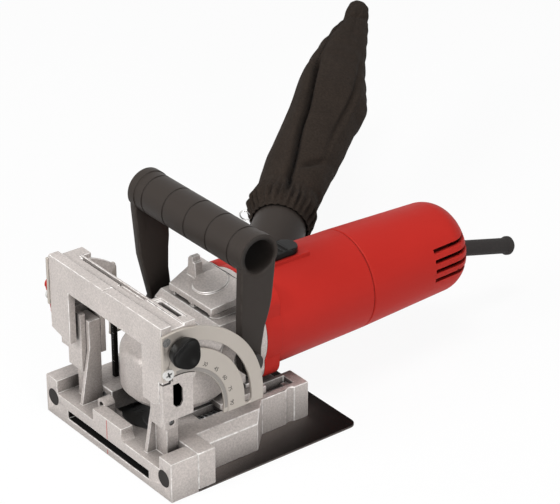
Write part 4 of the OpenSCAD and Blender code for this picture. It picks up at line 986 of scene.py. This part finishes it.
@dataclass
class DustBag:
    """Cloth bag gathered by an elastic hem on the dust tube.

    Distances along the bag start at the hem's edge. They and the sizes of the folds are in
    millimetres. The tube's turn and rise are in degrees.
    """

    elbow: Place = (-55.0 * MM, 153.0 * MM, 28.8 * MM)
    turn: float = 38.3
    rise: float = 13.7
    # Direction that the side with the long fold faces
    near_side: Place = (0.699, -0.545, 0.464)
    tube_r: float = 19.0 * MM
    hem_from: float = 83.0 * MM
    length: float = 271.0 * MM
    sides: int = 160
    ring_gap: float = 2.0 * MM
    wall: float = 0.7 * MM
    mean_r: float = 24.0
    # Share of the flat sheet that is left after its taper
    taper: float = 0.97
    # Height over width, where the round hem turns into a flatter bag, and how much squarer it gets
    deep: float = 0.86
    flattens: tuple[float, float] = (6.0, 14.0)
    square: float = 0.5
    # Middle and width of the gathers, and the length of the edge with its share of them
    hem: tuple[float, float] = (13.0, 11.0)
    lip: tuple[float, float] = (2.0, 0.4)
    pleats: int = 27
    pleat_high: tuple[float, float] = (1.15, 0.5)
    second_pleat: tuple[float, float] = (1.7, 1.0)
    # Strength, turns round the bag and pitch along it of the noise that makes the gathers uneven
    uneven: tuple[float, float, float] = (2.2, 2.0, 60.0)
    # Start and end of the limp stretch and of the creased one, each with its slope
    limp: tuple[float, float, float, float] = (14.0, 20.0, 272.0, 24.0)
    creased: tuple[float, float, float, float] = (14.0, 16.0, 268.0, 22.0)
    crease_from: float = 12.0
    # Height, turns round the bag, pitch along it and seed of its waves
    waves: tuple[tuple[float, float, float, float], ...] = (
        (0.8, 2.4, 46.0, 3.1), (0.22, 4.6, 17.0, 9.7))
    # Where the tube ends with the cloth's gap to it, where the tip starts, and the least radii
    over_tube: tuple[float, float] = (17.0, 0.6)
    tip_from: float = 250.0
    least_r: tuple[float, float] = (4.0, 1.0)
    # Depth and two widths of the long fold, then height, place and width of the ridge beside it,
    # and the share by which it fades, from where and over what length
    valley: tuple[float, float, float] = (6.0, 1.1, 2.1)
    ridge: tuple[float, float, float] = (1.7, 4.2, 3.0)
    fades: tuple[float, float, float] = (0.74, 156.0, 18.0)
    # The flap on the right: its place, bulge, the bulge's middle and width, and its own middle
    # and length; then depth and width of its fold, and height, place and width of its ridge
    flap_line: tuple[float, float, float, float] = (13.5, 5.0, 141.0, 40.0)
    flap_reach: tuple[float, float] = (128.0, 52.0)
    flap_fold: tuple[float, float] = (2.6, 1.6)
    flap_ridge: tuple[float, float, float] = (1.2, 3.4, 2.0)
    # Place, slant, depth and width of the fold behind the hem, its sideways middle and reach, and
    # the same four of the fold at the tip; then place, depth and width of the seam on the far side
    slant_fold: tuple[float, float, float, float] = (46.0, 0.9, 4.2, 3.2)
    slant_side: float = 9.0
    tip_fold: tuple[float, float, float, float] = (243.0, 0.5, 2.0, 2.6)
    seam: tuple[float, float, float] = (2.0, 3.0, 2.2)
    # Size of a stitch, the lift of its middle as a share of its height, and the length that gives
    # its direction; then where the stitches start and end, and their pitch
    stitch: Place = (2.3 * MM, 0.55 * MM, 0.5 * MM)
    stitch_lift: float = 0.7
    stitch_aim: float = 2.0
    sewn: tuple[float, float, float] = (152.0, 242.0, 3.5)
    # First step of the search for the fold's bottom, its end, and the steps in half a turn
    fold_search: tuple[int, int, int] = (90, 330, 360)
    # Distance, and half the width to the left and to the right
    outline: tuple[tuple[float, float, float], ...] = (
        (0, 20.6, 20.6), (4, 20.9, 20.8), (9, 24.0, 21.6), (16, 26.4, 21.6), (24, 25.4, 20.4),
        (31, 24.2, 19.0), (36, 24.0, 21.6), (48, 24.4, 22.6), (64, 24.8, 24.0), (80, 24.1, 26.0),
        (100, 23.2, 27.6), (120, 22.5, 28.6), (133, 22.4, 31.0), (141, 22.4, 31.6),
        (150, 22.4, 29.6), (162, 22.2, 26.8), (180, 20.8, 22.4), (200, 17.6, 18.4),
        (220, 13.6, 15.6), (235, 10.3, 13.2), (244, 8.0, 11.6), (252, 8.3, 10.2),
        (262, 7.6, 8.4), (267, 5.6, 5.4), (271, 1.6, 1.6))
    # Distance and sideways place of the long fold
    fold: tuple[tuple[float, float], ...] = (
        (26, -4.5), (35, -6.0), (98, -10.8), (162, -15.3), (204, -13.8), (243, -7.0),
        (271, -3.0))

    def __post_init__(self) -> None:
        """Work out the bag's own axes."""
        turn, rise = math.radians(self.turn), math.radians(self.rise)
        level = math.cos(rise)
        self.along = Vector((-math.sin(turn) * level, math.cos(turn) * level, math.sin(rise)))
        near = Vector(self.near_side)
        self.near = (near - near.dot(self.along) * self.along).normalized()
        self.right = self.near.cross(self.along).normalized() * -1.0
        self.start = Vector(self.elbow) + self.along * self.hem_from

    @staticmethod
    def between(table: Sequence[Sequence[float]], at: float, column: int) -> float:
        """Read a table at a distance, smoothly between its rows.

        Args:
            table: Rows that start with the distance.
            at: The distance.
            column: Which column after the distance.

        Returns:
            The value there.
        """
        if at <= table[0][0]:
            return table[0][column]
        for first, second in zip(table, table[1:]):
            if at <= second[0]:
                share = (at - first[0]) / (second[0] - first[0])
                share = share * share * (3 - 2 * share)
                return first[column] + (second[column] - first[column]) * share
        return table[-1][column]

    @staticmethod
    def wave(at: float, angle: float, turns: float, pitch: float, seed: float = 0.0) -> float:
        """Give smooth noise round and along the bag."""
        return noise.noise(Vector((turns * math.cos(angle), turns * math.sin(angle),
                                   at / pitch + seed)))

    @staticmethod
    def stretch(at: float, first: float, rise: float, last: float, fall: float) -> float:
        """Give 1 along a stretch of the bag, with a slope at either end."""
        return ramp(at - first, rise) * ramp(last - at, fall)

    def least(self, at: float) -> float:
        """Give the smallest radius: over the tube, along the bag or at its tip.

        Args:
            at: Distance along the bag.

        Returns:
            The radius.
        """
        tube_end, gap = self.over_tube
        if at < tube_end:
            return self.tube_r / MM + gap
        plain, tip = self.least_r
        return tip if at > self.tip_from else plain

    def gathers(self, at: float, angle: float) -> float:
        """Give how far the gathers of the hem stand out.

        Args:
            at: Distance along the bag.
            angle: Angle round the axis.

        Returns:
            The height.
        """
        middle, width = self.hem
        edge, share = self.lip
        strength = bell(at - middle, width) if at > edge else share
        uneven, turns, pitch = self.uneven
        phase = self.pleats * angle + uneven * self.wave(at, angle, turns, pitch)
        coarse, fine = self.pleat_high
        rate, shift = self.second_pleat
        return strength * (coarse * math.cos(phase) + fine * math.cos(rate * phase + shift))

    def creases(self, at: float, across: float, sine: float) -> float:
        """Give how far the folds pull the cloth in.

        Args:
            at: Distance along the bag.
            across: Sideways place.
            sine: Share towards the near side.

        Returns:
            The pull towards the axis.
        """
        ease = self.stretch(at, *self.creased)
        if sine <= 0:
            place, depth, width = self.seam
            return depth * bell(across + place, width) * ease
        step = across - self.between(self.fold, at, 1)
        depth, left, right = self.valley
        height, place, width = self.ridge
        share, start, length = self.fades
        kept = 1.0 - share * ramp(at - start, length)
        pull = kept * (depth * bell(step, left if step < 0 else right)
                       - height * bell(step + place, width))
        place, bulge, middle, width = self.flap_line
        flap = across - (place + bulge * bell(at - middle, width))
        reach = bell(at - self.flap_reach[0], self.flap_reach[1])
        depth, fold_width = self.flap_fold
        height, place, width = self.flap_ridge
        pull += reach * (depth * bell(flap, fold_width) - height * bell(flap - place, width))
        place, slant, depth, width = self.slant_fold
        side = bell(across - self.slant_side, self.slant_side)
        pull += depth * bell(at - (place + slant * across), width) * side
        place, slant, depth, width = self.tip_fold
        pull += depth * bell(at - (place + slant * across), width)
        return pull * ease

    def surface(self, at: float, angle: float) -> Vector:
        """Give a point of the cloth.

        Args:
            at: Distance along the bag.
            angle: Angle round the axis, from the right over the near side.

        Returns:
            The point, in metres.
        """
        cosine, sine = math.cos(angle), math.sin(angle)
        left, right = (self.between(self.outline, at, column) for column in (1, 2))
        wide, mean = right if cosine > 0 else left, (left + right) / 2
        start, length = self.flattens
        tight = ramp(at - start, length)
        power = 2.0 + self.square * tight
        high = self.deep * mean * tight + mean * (1 - tight)
        radius = (abs(cosine / wide) ** power + abs(sine / high) ** power) ** (-1 / power)
        if at > self.crease_from:
            radius -= self.creases(at, radius * cosine, sine)
        radius += self.gathers(at, angle)
        ripple = sum(height * self.wave(at, angle, *rest) for height, *rest in self.waves)
        radius = max(radius + self.stretch(at, *self.limp) * ripple, self.least(at))
        offset = self.right * cosine + self.near * sine
        return self.start + self.along * (at * MM) + offset * (radius * MM)

    def on_fold(self, at: float) -> Vector:
        """Give the point at the long fold's bottom.

        Args:
            at: Distance along the bag.

        Returns:
            The point, in metres.
        """
        goal = self.between(self.fold, at, 1) * MM
        first, last, half_turn = self.fold_search
        ring = [self.surface(at, math.pi * step / half_turn) for step in range(first, last)]
        return min(ring, key=lambda point: abs((point - self.start).dot(self.right) - goal))

    def stitches(self, shop: Workshop) -> None:
        """Sew the seam that runs on from the long fold to the tip.

        Args:
            shop: The workshop.
        """
        shape = bmesh.new()
        first, last, pitch = self.sewn
        size = Matrix.Diagonal((*self.stitch, 1.0))
        for row in range(int((last - first) / pitch)):
            at = first + row * pitch
            low, high = self.on_fold(at), self.on_fold(at + self.stitch_aim)
            along = (high - low).normalized()
            middle = (low + high) / 2
            out = middle - self.start
            out = (out - out.dot(self.along) * self.along).normalized()
            side = along.cross(out).normalized()
            axes = Matrix((along, side, side.cross(along) * -1.0)).transposed().to_4x4()
            place = Matrix.Translation(middle + out * self.stitch[2] * self.stitch_lift)
            bmesh.ops.create_icosphere(shape, subdivisions=1, radius=0.5,
                                       matrix=place @ axes @ size)
        bmesh.ops.recalc_face_normals(shape, faces=shape.faces)
        shop.place("bag_stitches", shape, "base", "dark_ink_and_painted_shade", "bag_fabric", even=False)

    def loft(self, shape: bmesh.types.BMesh) -> None:
        """Draw the cloth out ring by ring, and close its tip.

        Args:
            shape: The bmesh that it goes into.
        """
        ring = bmesh.ops.create_circle(shape, segments=self.sides, radius=self.tube_r)["verts"]
        count = int(self.length / self.ring_gap)
        angles = [2 * math.pi * k / self.sides for k in range(self.sides)]
        edges = list(shape.edges)
        for vertex, angle in zip(ring, angles):
            vertex.co = self.surface(0.0, angle)
        for step in range(1, count + 1):
            made = bmesh.ops.extrude_edge_only(shape, edges=edges)["geom"]
            fresh = {item for item in made if isinstance(item, bmesh.types.BMVert)}
            edges = [item for item in made if isinstance(item, bmesh.types.BMEdge)
                     and all(vertex in fresh for vertex in item.verts)]
            order = {vertex: k for k, vertex in enumerate(ring)}
            follow = {order[other]: vertex for vertex in fresh
                      for other in (edge.other_vert(vertex) for edge in vertex.link_edges)
                      if other in order}
            ring = [follow[k] for k in range(self.sides)]
            for vertex, angle in zip(ring, angles):
                vertex.co = self.surface(self.length / MM * step / count, angle)
        bmesh.ops.contextual_create(shape, geom=edges)
        bmesh.ops.recalc_face_normals(shape, faces=shape.faces)

    def lay_flat(self, shape: bmesh.types.BMesh) -> None:
        """Lay the weave out flat, in metres, on a UV map of its own.

        Args:
            shape: The cloth.
        """
        flat = shape.loops.layers.uv["cloth"]
        girth = 2 * math.pi * self.mean_r * MM
        for face in shape.faces:
            offsets = [loop.vert.co - self.start for loop in face.loops]
            turns = [math.atan2(offset.dot(self.near), offset.dot(self.right)) / (2 * math.pi)
                     for offset in offsets]
            over_seam = max(turns) - min(turns) > 0.5
            for loop, turn, offset in zip(face.loops, turns, offsets):
                if over_seam and turn < 0:
                    turn += 1.0
                loop[flat].uv = (turn * girth, offset.dot(self.along))

    def build(self, shop: Workshop) -> None:
        """Make the bag and its stitches.

        Args:
            shop: The workshop.
        """
        shape = bmesh.new()
        shape.loops.layers.uv.new("cloth")
        self.loft(shape)
        self.lay_flat(shape)
        area = sum(face.calc_area() for face in shape.faces)
        bmesh.ops.solidify(shape, geom=shape.faces[:], thickness=self.wall)
        piece = shop.place("gathered_dust_bag", shape, "base", "bag_fabric", smooth=80.0,
                           even=False)
        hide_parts("dust_bag", "bag_collar")
        self.stitches(shop)


@dataclass
class Studio:
    """Floor, lamps, world and camera."""

    eye: Place = (1.0361, -0.6729, 0.7857)
    aim: tuple[float, float] = (62.382, 52.055)
    lens: float = 151.27
    sensor: float = 36.0
    floor_size: float = 6.0
    floor_z: float = -0.0003
    floor_paint: Colour = (0.82, 0.82, 0.82)
    # Share of plain white in what the camera sees of the floor; the rest keeps the shadow
    floor_white: float = 0.93
    sky: Colour = (0.94, 0.96, 1.0)
    sky_strength: float = 0.14
    # Name, place, aim, width and power of each lamp
    lamps: tuple[tuple[str, Place, Place, float, float], ...] = (
        ("key", (-0.1, -1.35, 1.0), (0.0, 0.08, 0.05), 0.6, 17.0),
        ("fill", (1.6, -0.25, 0.7), (0.0, 0.1, 0.06), 0.65, 14.0),
        ("top", (0.2, -0.1, 1.8), (0.0, 0.15, 0.05), 0.9, 19.0),
    )

    @staticmethod
    def pale(graph: Graph, plain: bpy.types.NodeSocket, share: float) -> bpy.types.NodeSocket:
        """Mix a plain shader with white for camera, glossy and transmission rays.

        Args:
            graph: The material's or the world's graph.
            plain: The shader that lights the object.
            share: How much of the white shows.

        Returns:
            The mixed shader.
        """
        path = graph.add("ShaderNodeLightPath").outputs
        seen = graph.math("MAXIMUM", path["Is Camera Ray"], path["Is Glossy Ray"])
        seen = graph.math("MAXIMUM", seen, path["Is Transmission Ray"])
        white = graph.add("ShaderNodeEmission", {"Color": (1, 1, 1, 1), "Strength": 1.0})
        shown = graph.math("MULTIPLY", seen, share)
        mixed = graph.add("ShaderNodeMixShader", {0: shown, 1: plain, 2: white.outputs[0]})
        return mixed.outputs[0]

    def camera(self) -> None:
        """Put the camera where the photograph was taken from."""
        scene = bpy.context.scene
        camera = bpy.data.objects.new("photo_camera", bpy.data.cameras.new("photo_camera"))
        camera.data.lens, camera.data.sensor_width = self.lens, self.sensor
        camera.data.sensor_fit = "HORIZONTAL"
        camera.location = self.eye
        camera.rotation_euler = (math.radians(self.aim[0]), 0.0, math.radians(self.aim[1]))
        scene.collection.objects.link(camera)
        scene.camera = camera

    def light(self) -> None:
        """Hang the lamps and set the soft sky."""
        scene = bpy.context.scene
        for name, place, aim, width, power in self.lamps:
            lamp = bpy.data.lights.new(name, "AREA")
            lamp.shape, lamp.size, lamp.energy = "DISK", width, power
            holder = bpy.data.objects.new(name, lamp)
            holder.location = place
            turn = (Vector(aim) - Vector(place)).to_track_quat("-Z", "Y")
            holder.rotation_euler = turn.to_euler()
            scene.collection.objects.link(holder)
        world = bpy.data.worlds.new("studio")
        world.use_nodes = True
        world.node_tree.nodes.clear()
        graph = Graph(world.node_tree)
        soft = graph.add("ShaderNodeBackground", {
            "Color": (*self.sky, 1), "Strength": self.sky_strength})
        surface = self.pale(graph, soft.outputs[0], 1.0)
        graph.add("ShaderNodeOutputWorld", {"Surface": surface})
        scene.world = world

    def floor(self) -> None:
        """Lay the pale floor."""
        shape = bmesh.new()
        bmesh.ops.create_grid(shape, x_segments=1, y_segments=1, size=self.floor_size / 2,
                              matrix=Matrix.Translation((0, 0, self.floor_z)))
        mesh = bpy.data.meshes.new("floor")
        shape.to_mesh(mesh)
        shape.free()
        floor = bpy.data.objects.new("floor", mesh)
        bpy.context.scene.collection.objects.link(floor)
        paper = bpy.data.materials.new("floor_paper")
        paper.use_nodes = True
        paper.node_tree.nodes.clear()
        graph = Graph(paper.node_tree)
        matt = graph.add("ShaderNodeBsdfDiffuse", {"Color": (*self.floor_paint, 1)})
        surface = self.pale(graph, matt.outputs[0], self.floor_white)
        graph.add("ShaderNodeOutputMaterial", {"Surface": surface})
        mesh.materials.append(paper)

    def build(self) -> None:
        """Set the view, the camera, the lamps, the world and the floor."""
        bpy.context.scene.view_settings.view_transform = "Standard"
        self.camera()
        self.light()
        self.floor()


# Node, radius of its broken edges and shortest edge that is broken, in millimetres, and its finish
# where it isn't the slot's
ROUNDED = (
    ("front_casting", 0.8, 1.2), ("rear_casting", 0.8, 0.0), ("sole_plate", 0.3, 0.0),
    ("anti_slip_pads", 0.4, 0.0), ("rod_nuts", 0.3, 0.0), ("height_scale", 0.2, 0.0),
    ("dust_chute", 0.5, 0.0), ("slide_bracket", 0.5, 0.0), ("gear_housing", 1.0, 0.0),
    ("bearing_cover", 0.5, 0.0), ("motor_shell_front", 0.3, 0.0), ("motor_shell_rear", 0.4, 0.0),
    ("bail_handle", 1.2, 3.0), ("handle_screws", 0.3, 0.0, "black_zinc"),
    ("strain_relief", 0.5, 0.0), ("carriage", 0.6, 0.0), ("fence", 0.7, 0.0),
    ("protractor", 0.25, 0.0), ("left_quadrant", 0.25, 0.0), ("height_lever", 0.8, 1.5),
    ("power_slider", 0.6, 0.0), ("spindle_lock", 0.5, 0.0), ("depth_turret", 0.4, 0.0),
    ("shell_screws", 0.3, 0.0), ("guide_stud", 0.3, 0.0),
)


def main() -> None:
    """Build the studio and dress every sub-assembly of the joiner."""
    logging.basicConfig(level=logging.INFO, format="%(name)s %(message)s")
    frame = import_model()
    Studio().build()
    shop = Workshop(frame)
    shop.paint_nodes()
    for node, radius, shortest, *finish in ROUNDED:
        RoundedCopy(node, radius * MM, shortest * MM, *finish).build(shop)
    for part in (ScaleMarks(), ReturnSprings(), ClampKnob(), DustBag()):
        part.build(shop)


if __name__ == "__main__":
    main()
